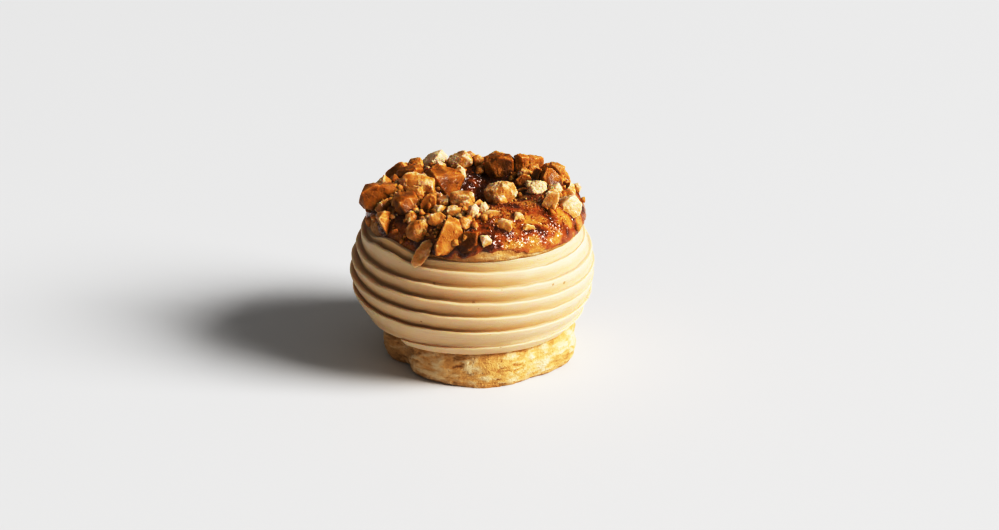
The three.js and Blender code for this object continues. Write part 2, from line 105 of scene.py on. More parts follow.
CREAM = {
    "bottom": CREAM_LOW.z / MM,
    "top": CREAM_HIGH.z / MM,
    "widest": 25.3,
    "radius": 35.4,
    "bottom_drop": 6.1,
    "bottom_bend": 2.2,
    "top_drop": 3.5,
    "hole_end": 8.8,
    "front_lip": 13.25,
    "pitch": 5.84,
    "pitch_loss": 0.31,
    "stretch_from": 3.0,
    "stretch": 0.39,
    "lean": 2.44,
    "lean_azimuth": 49.0,
    "lean_rise": 2.0,
    "lean_from": (-0.6, 0.9),
    "tail": -41.0,
    "tail_recess": 2.4,
    "recess_fade": (-340.0, -285.0),
    "lip_sway": ((0.22, 3, 70),),
    "body_sway": ((0.25, 0.73, 20),),
    "joins_from": 0.87,  # share of a turn's width from which it follows the turn above
    "opening": (55.0, 150.0),  # degrees along the ribbon over which its groove opens
    "shut": 0.3,  # how open the groove is before that
    "pressed": ((92, 50, 0.7),),  # where the turns are pressed together: azimuth, width, how much
}

LID = {
    "bottom": LID_LOW.z / MM,
    "shift": 1.2,
    "radius": 31.2,
    "crown": 50.1,
    "crown_radius": 18.5,
    "hole": 8.8,
    "hole_end": 9.6,
    "side": 1.7,
    "cut_edge": ((1.6, 0.0), (0.3, 0.6)),
    "cut_edge_depth": 0.35,  # the lid sits down into the cream, which fills most of its cut edge
    "roundness": (1.1, 0.9),  # outside, and in the hole
    "relief": 0.7,  # its crust is smoother than the base's
    "rim_sway": ((0.45, 3, 50), (0.27, 7, 110)),
    "crown_sway": ((0.45, 4, 15), (0.225, 9, 200)),
}

LID_MIDDLE = np.array((LID["shift"] * MM, 0, 0))

# The end of the ribbon stands a little higher than its solid where it leans on the lid.
HUG = {"place": ((-48, 14, 1),), "band": 3.5, "rise": 3.2, "out": 0.9, "inside": 28, "outside": 30}

# The caramel: the slopes of the lid at which it ends, where it ends higher up, and where it is thin.
# Swells are (azimuth, width, height).
GLAZE = {
    "edge": -12.0,
    "inner_edge": 174.0,
    "edge_sway": ((3.0, 9, 30), (2.4, 17, 80), (2.0, 31, 10), (1.4, 53, 200)),
    "bare": ((12, 17, 20.0), (-72, 20, 24.0)),
    "thin": ((24, 22, 1.0), (74, 18, 0.8)),
    "under": 0.35,  # how deep its lower side lies in the crust
    "feather": 0.035,  # share of its width over which its edge swells to the full thickness
    "climb": 1.1,  # how near a nut it begins to climb
}

# How unevenly a hand pipes: each (degrees along the ribbon, share of the wobble, seed of the noise).
LIP_WAVES = ((9, 1.0, 4), (2.6, 0.35, 15))
BODY_WAVES = ((14, 0.8, 9),)

# ---------- how the fine pieces are divided ----------

RIBBON_COLUMNS = 400  # in one turn
RIBBON_ROWS = 19
RIBBON_TURNS = (-1.5, 7.0)  # from where its lip is lowest in front
BASE_GRID = (560, 76)  # round the ring, round its section
CRUST_GRID = (520, 64)
GLAZE_GRID = (640, 110)
HOLE_SIDES = 160
HOLE_ROWS = 24
NUT_VOXEL = 0.24 * MM
SMALL_NUT_VOXEL = 0.22 * MM

# The piped ribbon from the groove over one lip to the groove over the next: share of the strip's width,
# how far it lies inside the lips, and its height. The foot's heights are from the lower lip and the lip's
# from the upper one, in millimetres; the face's are shares of the pitch from the lower lip.
RIBBON_FOOT = ((0.0, 1.55, -0.5), (0.08, 1.85, -0.15), (0.15, 1.75, 0.35))
RIBBON_FACE = ((0.28, 1.36, 0.22), (0.42, 0.92, 0.42), (0.58, 0.5, 0.63), (0.73, 0.14, 0.84))
RIBBON_LIP = ((0.81, -0.02, -0.36), (0.87, 0.04, -0.08), (0.92, 0.4, 0.08), (0.96, 0.95, 0.0))

# Small nuts are rooted in the crust towards a circle inside it: its radius and height, and how deep.
NUT_ROOT = {"radius": 20.0, "height": 43.0, "depth": 1.0}
CHIP_SEED = 4  # of the slants at which chips broke off the nuts

# Grains strewn over the lid: how often their ball is divided, whether they lie along the surface, how
# far their middles stand above it and how uneven they are, as shares of their size, and their least size
# and its spread in millimetres.
CRUMBS = {"seed": 11, "divided": 1, "along": False, "rise": 0.2, "bumps": 0.8, "size": (0.6, 1.9)}
BUBBLES = {"seed": 23, "divided": 2, "along": True, "rise": 0.0, "bumps": 0.0, "size": (0.28, 0.5)}

# Where grains fall on the lid, as ranges of azimuth and radius.
ALL_ROUND = ((-180, 180), (12, 31))
BARE_CARAMEL = ((8, 66), (18, 31))
LEFT_EDGE = ((-70, -63), (28.5, 30.5))
LEFT_FRONT = ((-85, 0), (21, 31))

# The warm card in front: its sides, its middle, the way it faces, and its colour.
CARD = {
    "size": (1.3, 0.2),
    "middle": (-0.2, -1.0, 0.11),
    "facing": (0.2, 1.0, -0.08),
    "colour": (1.0, 0.66, 0.26),
}

# Tones before and after the view's curve.
PRINT_TONES = (
    (0.1, 0.045),
    (0.2, 0.125),
    (0.3, 0.24),
    (0.4, 0.375),
    (0.5, 0.515),
    (0.6, 0.635),
    (0.8, 0.825),
    (1.0, 0.94),
)
BRIGHTEST = 1.35  # the tone that the curve makes white
COMBINED = 3  # the place of the curve for all three colours


# ---------- settings that a user would change ----------


def colour(name, description, default):
    """A colour setting."""
    return bpy.props.FloatVectorProperty(
        name=name, description=description, default=default, subtype="COLOR", size=3, min=0, max=1
    )


def measure(name, description, default, unit="LENGTH"):
    """A length in metres, or a power in watts."""
    return bpy.props.FloatProperty(name=name, description=description, default=default, unit=unit)


def angle(name, description, degrees):
    return bpy.props.FloatProperty(
        name=name, description=description, default=math.radians(degrees), subtype="ANGLE"
    )


def amount(name, description, default):
    return bpy.props.IntProperty(name=name, description=description, default=default, min=0)


class PastryChoux(bpy.types.PropertyGroup):
    golden: colour("Golden", "Crust where it baked lightly", (0.62, 0.365, 0.128))
    # Pale also paints the light on the crust's ridges, and brown the shade in its cracks.
    pale: colour("Pale", "Crust on the ridges", (0.72, 0.555, 0.335))
    brown: colour("Brown", "Crust where it baked darkest", (0.36, 0.15, 0.03))
    relief: measure("Relief", "Depth of the cracks and blisters in the crust", 0.55 * MM)


class PastryCream(bpy.types.PropertyGroup):
    light: colour("Light", "Cream on the lips", (0.665, 0.515, 0.345))
    # Warm and deep are painted shade, low on each face and in the grooves; warm also tints the drawn-out
    # streaks.
    warm: colour("Warm", "Cream low on the faces", (0.59, 0.405, 0.215))
    deep: colour("Deep", "Cream in the grooves", (0.48, 0.295, 0.12))
    speck: colour("Speck", "Ground hazelnut skin in the cream", (0.33, 0.17, 0.07))
    wobble: measure("Wobble", "How unevenly the lips of the ribbon are piped", 0.22 * MM)


class PastryGlaze(bpy.types.PropertyGroup):
    honey: colour("Honey", "Caramel where it is thinnest", (0.50, 0.235, 0.045))
    amber: colour("Amber", "Caramel where it is thin", (0.33, 0.085, 0.010))
    # Dark also paints the shade in the caramel between the nuts and in the hole.
    dark: colour("Dark", "Caramel where it is thick", (0.085, 0.018, 0.003))
    thickness: measure("Thickness", "Thickness of the caramel on the lid", 0.45 * MM)
    bubbles: amount("Bubbles", "Bubbles set in the bare caramel", 700)


class PastryNuts(bpy.types.PropertyGroup):
    pale: colour("Pale", "Inside of a nut", (0.72, 0.55, 0.34))
    golden: colour("Golden", "Toasted nut", (0.54, 0.265, 0.066))
    amber: colour("Amber", "Nut under caramel", (0.35, 0.130, 0.012))
    skin: colour("Skin", "Skin and burnt edges", (0.10, 0.028, 0.004))
    crumbs: amount("Crumbs", "Crumbs strewn over the lid", 480)


class PastryStage(bpy.types.PropertyGroup):
    floor: colour("Floor", "Colour of the floor", (0.69, 0.69, 0.69))
    key_power: measure("Key light", "Power of the soft box", 4400.0, "POWER")
    key_size: measure("Key size", "Width of the soft box", 7.6)
    key_distance: measure("Key distance", "Soft box to the pastry", 15.0)
    key_azimuth: angle("Key azimuth", "Where the soft box stands, from +X towards the camera", 17)
    key_elevation: angle("Key elevation", "How high the soft box stands", 31.8)
    fill: bpy.props.FloatProperty(
        name="Fill", description="Strength of the light from all round", default=0.23, min=0
    )
    card_power: measure("Card", "Power that the warm card in front throws back", 0.8, "POWER")
    camera_elevation: angle("Camera elevation", "How far the camera looks down", 21.6)
    camera_distance: measure("Camera distance", "Camera to the pastry", 0.75)


# ---------- small helpers ----------


def wave(degrees):
    return np.sin(np.radians(degrees))


def sway(waves, degrees):
    """A sum of waves, each (reach, waves in a turn, start)."""
    return sum(reach * wave(rate * degrees + start) for reach, rate, start in waves)


def lerp(a, b, share):
    return a + (b - a) * share


def smoothstep(value, low, high):
    share = np.clip((value - low) / (high - low), 0, 1)
    return share * share * (3 - 2 * share)


def through(corners, share):
    """Two measures at a share from 0 to 1, on straight lines through corners (share, one, other)."""
    one, other = np.zeros_like(share), np.zeros_like(share)
    for (start, one_start, other_start), (stop, one_stop, other_stop) in zip(corners, corners[1:]):
        here = (share >= start) & (share <= stop)
        part = (share - start) / (stop - start)
        one = np.where(here, lerp(one_start, one_stop, part), one)
        other = np.where(here, lerp(other_start, other_stop, part), other)
    return one, other


def azimuth_gap(a, b):
    """Difference of azimuths, from -180 to 180 degrees."""
    return np.mod(a - b + 180, 360) - 180


def swells(places, azimuth):
    """A sum of smooth swells round the ring, each (azimuth, width, height)."""
    return sum(
        height * np.exp(-((azimuth_gap(azimuth, at) / width) ** 2)) for at, width, height in places
    )


def azimuths_of(points):
    return np.degrees(np.arctan2(points[:, 0], -points[:, 1]))


def placed(azimuth, radius, height):
    """Points in metres from azimuths, and radii and heights in millimetres."""
    turn = np.radians(azimuth)
    return MM * np.stack((radius * np.sin(turn), -radius * np.cos(turn), height), axis=1)


def points_of(piece):
    flat = np.empty(3 * len(piece.data.vertices))
    piece.data.vertices.foreach_get("co", flat)
    return flat.reshape(-1, 3)


def normals_of(piece):
    flat = np.empty(3 * len(piece.data.vertices), np.float32)
    piece.data.vertices.foreach_get("normal", flat)
    return flat.reshape(-1, 3).astype(float)


def move_points(piece, points):
    piece.data.vertices.foreach_set("co", np.ascontiguousarray(points, np.float32).ravel())
    piece.data.update()


def write_attribute(piece, name, values):
    """A number for each vertex, which a material can read."""
    attribute = piece.data.attributes.new(name, "FLOAT", "POINT")
    whole = np.broadcast_to(values, len(piece.data.vertices))
    attribute.data.foreach_set("value", whole.astype(np.float32))


def choose(piece=None):
    """Deselects everything, then selects and activates one piece."""
    if bpy.context.object and bpy.context.object.mode != "OBJECT":
        bpy.ops.object.mode_set(mode="OBJECT")
    bpy.ops.object.select_all(action="DESELECT")
    if piece:
        piece.select_set(True)
        bpy.context.view_layer.objects.active = piece


def edit(piece):
    """Opens a piece for editing, with all of it selected."""
    choose(piece)
    bpy.ops.object.mode_set(mode="EDIT")
    bpy.ops.mesh.select_all(action="SELECT")


def close_edit():
    bpy.ops.object.mode_set(mode="OBJECT")


def newest(name):
    """Names the primitive that was just added, and puts its place into its mesh."""
    piece = bpy.context.object
    piece.name = name
    piece.data.name = name
    bpy.ops.object.transform_apply(location=True, rotation=True, scale=True)
    return piece


def select_vertices(piece, chosen):
    """Selects vertices from edit mode or object mode, and leaves the piece in edit mode."""
    choose(piece)
    bpy.ops.object.mode_set(mode="EDIT")
    bpy.ops.mesh.select_mode(type="VERT")
    bpy.ops.mesh.select_all(action="DESELECT")
    close_edit()
    piece.data.vertices.foreach_set("select", np.asarray(chosen, bool))
    bpy.ops.object.mode_set(mode="EDIT")


def modifier(piece, kind, **settings):
    """Adds a modifier and applies it."""
    choose(piece)
    added = piece.modifiers.new(kind.title(), kind)
    for name, value in settings.items():
        setattr(added, name, value)
    bpy.ops.object.modifier_apply(modifier=added.name)


def noise_at(points, size, octaves=1, seed=0.0):
    """Smooth noise from about -1 to 1 at points in metres, its features about size metres wide."""
    offset = Vector((seed, 1.7 * seed, -seed))
    scaled = points / size
    if octaves == 1:
        return np.array([noise.noise(Vector(p) + offset) for p in scaled])
    return np.array([noise.fractal(Vector(p) + offset, 0.8, 2.0, octaves) for p in scaled])


def cells_at(points, size, seed=0.0):
    """Distance to the nearest of scattered points, as a share of size metres."""
    offset = Vector((seed, seed, seed))
    return np.array([noise.voronoi(Vector(p) + offset)[0][0] for p in points / size])


def finish_piece(piece, surface, slot, *nodes):
    """Smooths the shading, sets the material, hangs the piece on the body and hides the nodes that it
    replaces; the slot is not used.
    """
    choose(piece)
    bpy.ops.object.shade_smooth()
    piece.data.materials.clear()
    piece.data.materials.append(surface)
    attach(piece, BODY)
    if nodes:
        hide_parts(*nodes)


# ---------- shader groups ----------


class Nodes:
    """Short ways to add and link the nodes of one tree."""

    def __init__(self, tree):
        self.tree = tree

    def add(self, kind, **settings):
        node = self.tree.nodes.new(kind)
        for name, value in settings.items():
            setattr(node, name, value)
        return node

    def link(self, source, target):
        if hasattr(source, "is_output"):
            self.tree.links.new(source, target)
        else:
            target.default_value = source

    def noise(self, coordinates, scale, detail=4.0, roughness=0.55, stretch=(1, 1, 1)):
        """Noise whose features repeat scale times in a metre; stretch pulls them out along an axis."""
        mapping = self.add("ShaderNodeMapping")
        mapping.inputs["Scale"].default_value = [scale / part for part in stretch]
        self.link(coordinates, mapping.inputs["Vector"])
        node = self.add("ShaderNodeTexNoise")
        node.inputs["Scale"].default_value = 1.0
        node.inputs["Detail"].default_value = detail
        node.inputs["Roughness"].default_value = roughness
        self.link(mapping.outputs["Vector"], node.inputs["Vector"])
        return node.outputs["Fac"]

    def cells(self, coordinates, scale):
        """Distance to, and random colour of, the nearest of scattered points."""
        node = self.add("ShaderNodeTexVoronoi")
        node.inputs["Scale"].default_value = scale
        self.link(coordinates, node.inputs["Vector"])
        return node.outputs["Distance"], node.outputs["Color"]

    def steps(self, value, low, high, to_low=0.0, to_high=1.0):
        """A smooth step of the value between low and high."""
        node = self.add("ShaderNodeMapRange", interpolation_type="SMOOTHSTEP")
        self.link(value, node.inputs["Value"])
        for name, number in zip(
            ("From Min", "From Max", "To Min", "To Max"), (low, high, to_low, to_high)
        ):
            node.inputs[name].default_value = number
        return node.outputs["Result"]

    def math(self, operation, a, b):
        node = self.add("ShaderNodeMath", operation=operation)
        self.link(a, node.inputs[0])
        self.link(b, node.inputs[1])
        return node.outputs[0]

    def plus(self, a, b):
        return self.math("ADD", a, b)

    def minus(self, a, b):
        return self.math("SUBTRACT", a, b)

    def times(self, a, b):
        return self.math("MULTIPLY", a, b)

    def vector(self, operation, a, b):
        node = self.add("ShaderNodeVectorMath", operation=operation)
        self.link(a, node.inputs[0])
        self.link(b, node.inputs[1])
        return node

    def mix(self, share, a, b):
        """A colour between a and b."""
        node = self.add("ShaderNodeMix", data_type="RGBA")
        self.link(share, node.inputs["Factor"])
        for value, socket in ((a, node.inputs["A"]), (b, node.inputs["B"])):
            self.link(value if hasattr(value, "is_output") else (*value, 1.0), socket)
        return node.outputs["Result"]

    def ramp(self, share, stops):
        """A colour from stops of (place, colour)."""
        node = self.add("ShaderNodeValToRGB")
        elements = node.color_ramp.elements
        while len(elements) < len(stops):
            elements.new(0.5)
        for element, (place, tint) in zip(elements, stops):
            element.position = place
            element.color = (*tint, 1.0)
        self.link(share, node.inputs["Fac"])
        return node.outputs["Color"]

    def attribute(self, name):
        return self.add("ShaderNodeAttribute", attribute_name=name).outputs["Fac"]


def shader_group(name, numbers, outputs):
    """Starts a group that takes coordinates, a scale and more numbers, and puts out numbers.

    Returns its nodes, the scaled coordinates, and the nodes at its two ends.
    """
    tree = bpy.data.node_groups.new(name, "ShaderNodeTree")
    tree.interface.new_socket(name="Vector", in_out="INPUT", socket_type="NodeSocketVector")
    for socket in ("Scale", *numbers):
        tree.interface.new_socket(name=socket, in_out="INPUT", socket_type="NodeSocketFloat")
    for socket in outputs:
        tree.interface.new_socket(name=socket, in_out="OUTPUT", socket_type="NodeSocketFloat")
    nodes = Nodes(tree)
    start, end = nodes.add("NodeGroupInput"), nodes.add("NodeGroupOutput")
    scaled = nodes.add("ShaderNodeVectorMath", operation="SCALE")
    nodes.link(start.outputs["Vector"], scaled.inputs[0])
    nodes.link(start.outputs["Scale"], scaled.inputs["Scale"])
    return nodes, scaled.outputs["Vector"], start, end


def grain_group(name):
    """Fine and coarse unevenness of a baked or broken surface: a height and a mottling mask."""
    nodes, place, start, end = shader_group(name, ("Pits",), ("Height", "Mottle"))
    fine = nodes.noise(place, 4.0, detail=6.0, roughness=0.7)
    coarse = nodes.noise(place, 1.0, detail=3.0)
    hole = nodes.cells(place, 2.2)[0]
    pit = nodes.steps(hole, 0.06, 0.34, 1.0, 0.0)
    dip = nodes.times(pit, start.outputs["Pits"])
    bumps = nodes.plus(fine, nodes.times(coarse, 1.6))
    nodes.link(nodes.minus(bumps, dip), end.inputs["Height"])
    mottle = nodes.plus(nodes.times(coarse, 0.6), nodes.times(fine, 0.4))
    nodes.link(mottle, end.inputs["Mottle"])
    return nodes.tree


def speck_group(name):
    """A mask of specks scattered thinly through a soft mass."""
    nodes, place, start, end = shader_group(name, ("Share",), ("Mask",))
    distance, tint = nodes.cells(place, 1.0)
    parts = nodes.add("ShaderNodeSeparateColor")
    nodes.link(tint, parts.inputs["Color"])
    present = nodes.math("LESS_THAN", parts.outputs["Red"], start.outputs["Share"])
    reach = nodes.plus(nodes.times(parts.outputs["Green"], 0.13), 0.04)
    inside = nodes.math("DIVIDE", distance, reach)
    spot = nodes.steps(inside, 0.6, 1.1, 1.0, 0.0)
    nodes.link(nodes.times(spot, present), end.inputs["Mask"])
    return nodes.tree


def facet_group(name):
    """Small flat crystals, each tilted its own way, as a height."""
    nodes, place, _, end = shader_group(name, (), ("Height",))
    cell = nodes.add("ShaderNodeTexVoronoi")
    cell.inputs["Scale"].default_value = 1.0
    nodes.link(place, cell.inputs["Vector"])
    across = nodes.vector("SUBTRACT", place, cell.outputs["Position"]).outputs["Vector"]
    slant = nodes.vector("SUBTRACT", cell.outputs["Color"], (0.5, 0.5, 0.5)).outputs["Vector"]
    height = nodes.vector("DOT_PRODUCT", across, slant)
    nodes.link(height.outputs["Value"], end.inputs["Height"])
    return nodes.tree


GROUPS = {"Grain": grain_group, "Specks": speck_group, "Facets": facet_group}


def new_material(name):
    """A material with a Principled shader, ready for its nodes."""
    surface = bpy.data.materials.new(name)
    surface.use_nodes = True
    nodes = Nodes(surface.node_tree)
    shader = surface.node_tree.nodes["Principled BSDF"]
    place = nodes.add("ShaderNodeTexCoord").outputs["Object"]
    return surface, nodes, shader, place


def group_in(nodes, name, place, **values):
    """Places a shader group, gives it coordinates and sets its numbers."""
    tree = bpy.data.node_groups.get(name) or GROUPS[name](name)
    node = nodes.add("ShaderNodeGroup", node_tree=tree)
    nodes.link(place, node.inputs["Vector"])
    for name, value in values.items():
        node.inputs[name].default_value = value
    return node


def let_light_in(shader, weight, radius, scale):
    """Light passes into the surface: how much, how far each colour goes, and the scale in metres."""
    for part, value in (("Weight", weight), ("Radius", radius), ("Scale", scale)):
        shader.inputs[f"Subsurface {part}"].default_value = value


def raise_surface(nodes, shader, height, depth):
    """Feeds a height of that depth in metres to the shader as a bump."""
    bump = nodes.add("ShaderNodeBump")
    bump.inputs["Strength"].default_value = 1.0
    bump.inputs["Distance"].default_value = depth
    nodes.link(height, bump.inputs["Height"])
    nodes.link(bump.outputs["Normal"], shader.inputs["Normal"])


# ---------- materials ----------


def crust_material(name, settings, browning):
    """Baked choux: golden, brown where browning says, with painted light and shade: paler on the ridges,
    browner in the cracks.
    """
    surface, nodes, shader, place = new_material(name)
    grain = group_in(nodes, "Grain", place, Scale=420.0, Pits=0.5)
    mottle = nodes.noise(place, 230.0, detail=5.0)
    layers = nodes.noise(place, 900.0, detail=3.0, stretch=(4, 4, 1))
    spread = nodes.plus(nodes.times(mottle, 1.1), nodes.times(layers, 0.8))
    # Painted light and shade: the crust is paler where its relief stands high and browner in its cracks,
    # on top of its own mottling.
    lift = nodes.plus(nodes.attribute("ridge"), nodes.minus(spread, 0.95))
    body = nodes.ramp(
        lift,
        (
            (0.0, settings.brown),
            (0.24, lerp(np.array(settings.brown), np.array(settings.golden), 0.6)),
            (0.5, settings.golden),
            (0.8, settings.pale),
        ),
    )
    patches = nodes.steps(nodes.noise(place, 90.0, detail=3.0), 0.45, 0.75)
    toasted = nodes.times(patches, 0.22)
    warm = nodes.mix(toasted, body, lerp(np.array(settings.golden), np.array(settings.brown), 0.35))
    baked = nodes.mix(browning(nodes, place), warm, settings.brown)
    nodes.link(baked, shader.inputs["Base Color"])
    nodes.link(nodes.steps(grain.outputs["Mottle"], 0.3, 0.8, 0.5, 0.8), shader.inputs["Roughness"])
    shader.inputs["Specular IOR Level"].default_value = 0.35
    relief = nodes.plus(grain.outputs["Height"], nodes.times(layers, 1.5))
    raise_surface(nodes, shader, relief, 0.0003)
    return surface


def base_browning(nodes, place):
    """The foot of the base is baked darkest, where it lay on the tray."""
    parts = nodes.add("ShaderNodeSeparateXYZ")
    nodes.link(place, parts.inputs["Vector"])
    ragged = nodes.times(nodes.noise(place, 260.0), 0.004)
    height = nodes.minus(parts.outputs["Z"], ragged)
    return nodes.steps(height, -0.0026, 0.0004, 0.55, 0.0)


def lid_browning(nodes, place):
    """The lid is evenly baked, and darker where caramel soaked into it."""
    return nodes.steps(nodes.noise(place, 210.0, detail=4.0), 0.32, 0.72, 0.28, 0.8)


def cream_material(settings):
    """Praline cream: satin, with painted shade that makes it warmer low on each face and deeper in the
    grooves, drawn-out streaks and brown specks.
    """
    surface, nodes, shader, place = new_material("praline_cream")
    ribbon = nodes.add("ShaderNodeUVMap", uv_map="UVMap").outputs["UV"]
    streaks = nodes.noise(ribbon, 1.0, detail=5.0, stretch=(0.006, 0.06, 1.0))
    clouds = nodes.noise(place, 130.0, detail=3.0)
    # Painted shade: the cream is warmer the further it lies inside the lips and darkest in the grooves,
    # and clouds vary its own tone.
    groove = nodes.attribute("groove")
    shade = nodes.plus(groove, nodes.times(nodes.minus(clouds, 0.5), 0.3))
    face = nodes.mix(nodes.steps(shade, 0.0, 0.8), settings.light, settings.warm)
    body = nodes.mix(nodes.steps(groove, 0.8, 1.0), face, settings.deep)
    streaked = nodes.mix(nodes.steps(streaks, 0.45, 0.75, 0.0, 0.22), body, settings.warm)
    large = group_in(nodes, "Specks", place, Scale=270.0, Share=0.3)
    small = group_in(nodes, "Specks", place, Scale=600.0, Share=0.2)
    faint = nodes.times(small.outputs["Mask"], 0.6)
    specks = nodes.math("MAXIMUM", large.outputs["Mask"], faint)
    spotted = nodes.mix(nodes.times(specks, 0.8), streaked, settings.speck)
    nodes.link(spotted, shader.inputs["Base Color"])
    nodes.link(nodes.steps(clouds, 0.3, 0.7, 0.4, 0.52), shader.inputs["Roughness"])
    shader.inputs["Specular IOR Level"].default_value = 0.45
    let_light_in(shader, 0.6, (1.0, 0.5, 0.2), 0.004)
    fine = nodes.noise(place, 2200.0, detail=3.0)
    height = nodes.plus(nodes.times(streaks, 1.0), nodes.times(fine, 0.25))
    raise_surface(nodes, shader, height, 0.0002)
    return surface


def caramel_material(settings):
    """Set caramel: dark amber, glossy, blistered with small bubbles that catch the light."""
    surface, nodes, shader, place = new_material("caramel_glaze")
    pools = nodes.noise(place, 190.0, detail=5.0)
    swing = nodes.times(nodes.minus(pools, 0.5), 2.0)
    # The thick attribute also carries painted shade near the nuts and towards the hole.
    depth = nodes.plus(nodes.attribute("thick"), swing)
    body = nodes.ramp(
        depth, ((0.05, settings.honey), (0.32, settings.amber), (0.75, settings.dark))
    )
    nodes.link(body, shader.inputs["Base Color"])
    grain = group_in(nodes, "Grain", place, Scale=500.0, Pits=0.4)
    nodes.link(nodes.steps(grain.outputs["Mottle"], 0.35, 0.7, 0.07, 0.16), shader.inputs["Roughness"])
    shader.inputs["Specular IOR Level"].default_value = 0.5
    let_light_in(shader, 0.25, (1.0, 0.3, 0.04), 0.0012)
    crowd = nodes.steps(nodes.noise(place, 200.0, detail=2.0), 0.35, 0.5, 0.15, 1.0)
    facets = group_in(nodes, "Facets", place, Scale=2100.0)
    crystals = nodes.times(facets.outputs["Height"], crowd)
    faint = nodes.times(grain.outputs["Height"], 0.12)
    raise_surface(nodes, shader, nodes.plus(faint, crystals), 0.00036)
    return surface


def nut_material(settings):
    """Broken caramelised hazelnut: its attributes say how toasted and how crumbly it is where; its tone
    is also painted paler on standing-out edges, a painted light.
    """
    surface, nodes, shader, place = new_material("broken_hazelnut")
    crumbly = nodes.attribute("crumbly")
    grain = group_in(nodes, "Grain", place, Scale=520.0, Pits=0.8)
    patches = nodes.noise(place, 300.0, detail=3.0, roughness=0.5)
    swing = nodes.times(nodes.minus(patches, 0.5), 0.7)
    fleck = nodes.minus(grain.outputs["Mottle"], 0.5)
    fine = nodes.times(fleck, nodes.steps(crumbly, 0.0, 1.0, 0.15, 0.9))
    toast = nodes.plus(nodes.plus(nodes.attribute("tone"), swing), fine)
    body = nodes.ramp(
        toast,
        (
            (0.02, settings.pale),
            (0.36, settings.golden),
            (0.68, settings.amber),
            (1.0, settings.skin),
        ),
    )
    specks = group_in(nodes, "Specks", place, Scale=760.0, Share=0.4)
    dotted = nodes.times(specks.outputs["Mask"], nodes.steps(crumbly, 0.05, 0.8, 0.12, 0.85))
    spot = lerp(np.array(settings.skin), np.array(settings.amber), 0.4)
    nodes.link(nodes.mix(dotted, body, spot), shader.inputs["Base Color"])
    nodes.link(nodes.steps(crumbly, 0.0, 0.8, 0.34, 0.62), shader.inputs["Roughness"])
    nodes.link(nodes.steps(crumbly, 0.0, 0.6, 0.12, 0.0), shader.inputs["Coat Weight"])
    shader.inputs["Coat Roughness"].default_value = 0.1
    shader.inputs["Specular IOR Level"].default_value = 0.18
    let_light_in(shader, 0.45, (1.0, 0.35, 0.06), 0.0022)
    relief = nodes.times(grain.outputs["Height"], nodes.steps(crumbly, 0.0, 1.0, 0.6, 1.0))
    raise_surface(nodes, shader, relief, 0.0002)
    return surface


def floor_material(settings):
    """A plain pale floor with a trace of unevenness."""
    surface, nodes, shader, place = new_material("pale_floor")
    tint = settings.floor
    shade = nodes.noise(place, 6.0, detail=2.0)
    nodes.link(nodes.mix(shade, tint, [1.015 * part for part in tint]), shader.inputs["Base Color"])
    shader.inputs["Roughness"].default_value = 0.7
    raise_surface(nodes, shader, nodes.noise(place, 900.0), 0.00001)
    return surface


# ---------- rings ----------


def ring_from_torus(name, shift, grid, section):
    """A torus whose points are moved to section(azimuth, slope), a radius and a height."""
    choose()
    middle = Vector((shift * MM, 0, 0))
    ring_radius, tube_radius = 20 * MM, 8 * MM
    bpy.ops.mesh.primitive_torus_add(
        major_segments=grid[0],
        minor_segments=grid[1],
        major_radius=ring_radius,
        minor_radius=tube_radius,
        location=middle,
    )
    piece = newest(name)
    points = points_of(piece) - np.array(middle)
    across = np.hypot(points[:, 0], points[:, 1]) - ring_radius
    slope = np.degrees(np.arctan2(points[:, 2], across))
    azimuth = azimuths_of(points)
    radius, height = section(azimuth, slope)
    move_points(piece, placed(azimuth, radius, height) + np.array(middle))
    return piece


def shove(piece, distance):
    """Moves each vertex along its normal by its own distance in metres."""
    move_points(piece, points_of(piece) + normals_of(piece) * distance[:, None])


def stand_level(piece, floor):
    """Lifts what hangs below a floor in metres on to it."""
    points = points_of(piece)
    points[:, 2] = np.maximum(points[:, 2], floor)
    move_points(piece, points)


# ---------- choux base ----------


def base_section(azimuth, slope):
    """The lobed base at an azimuth; slope runs round its section from -180 to 180, 0 outwards."""
    crease = swells([(at, BASE["crease_width"], depth) for at, depth in BASE["creases"]], azimuth)
    widest = BASE["radius"] - crease + sway(BASE["rim_sway"], azimuth)
    undercut = BASE["undercut"] + BASE["side_undercut"] * np.abs(wave(azimuth))
    top = BASE["height"] - BASE["crease_sink"] * crease
    middle = 0.5 * BASE["height"]
    above = slope >= 0
    inset = np.where(above, BASE["top_inset"], undercut)
    reach = np.where(above, top - middle, middle)
    steep = np.clip(np.abs(slope), 0, 90)
    across = 1 - np.clip(np.cos(np.radians(steep)), 0, 1) ** BASE["roundness"]
    radius = widest - inset * across
    height = middle + np.sign(slope) * reach * wave(steep)
    # From the outer edge over the flat to the hole.
    share = np.clip((np.abs(slope) - 90) / 90, 0, 1)
    flat = np.clip(share / BASE["flat"], 0, 1)
    wall = np.clip((share - BASE["flat"]) / (1 - BASE["flat"]), 0, 1)
    edge = np.where(above, BASE["height"] - BASE["dish"], 0)
    radius = lerp(lerp(radius, BASE["hole_end"], flat), BASE["hole"], wall)
    height = lerp(lerp(height, edge, flat), middle, wall)
    return radius, height


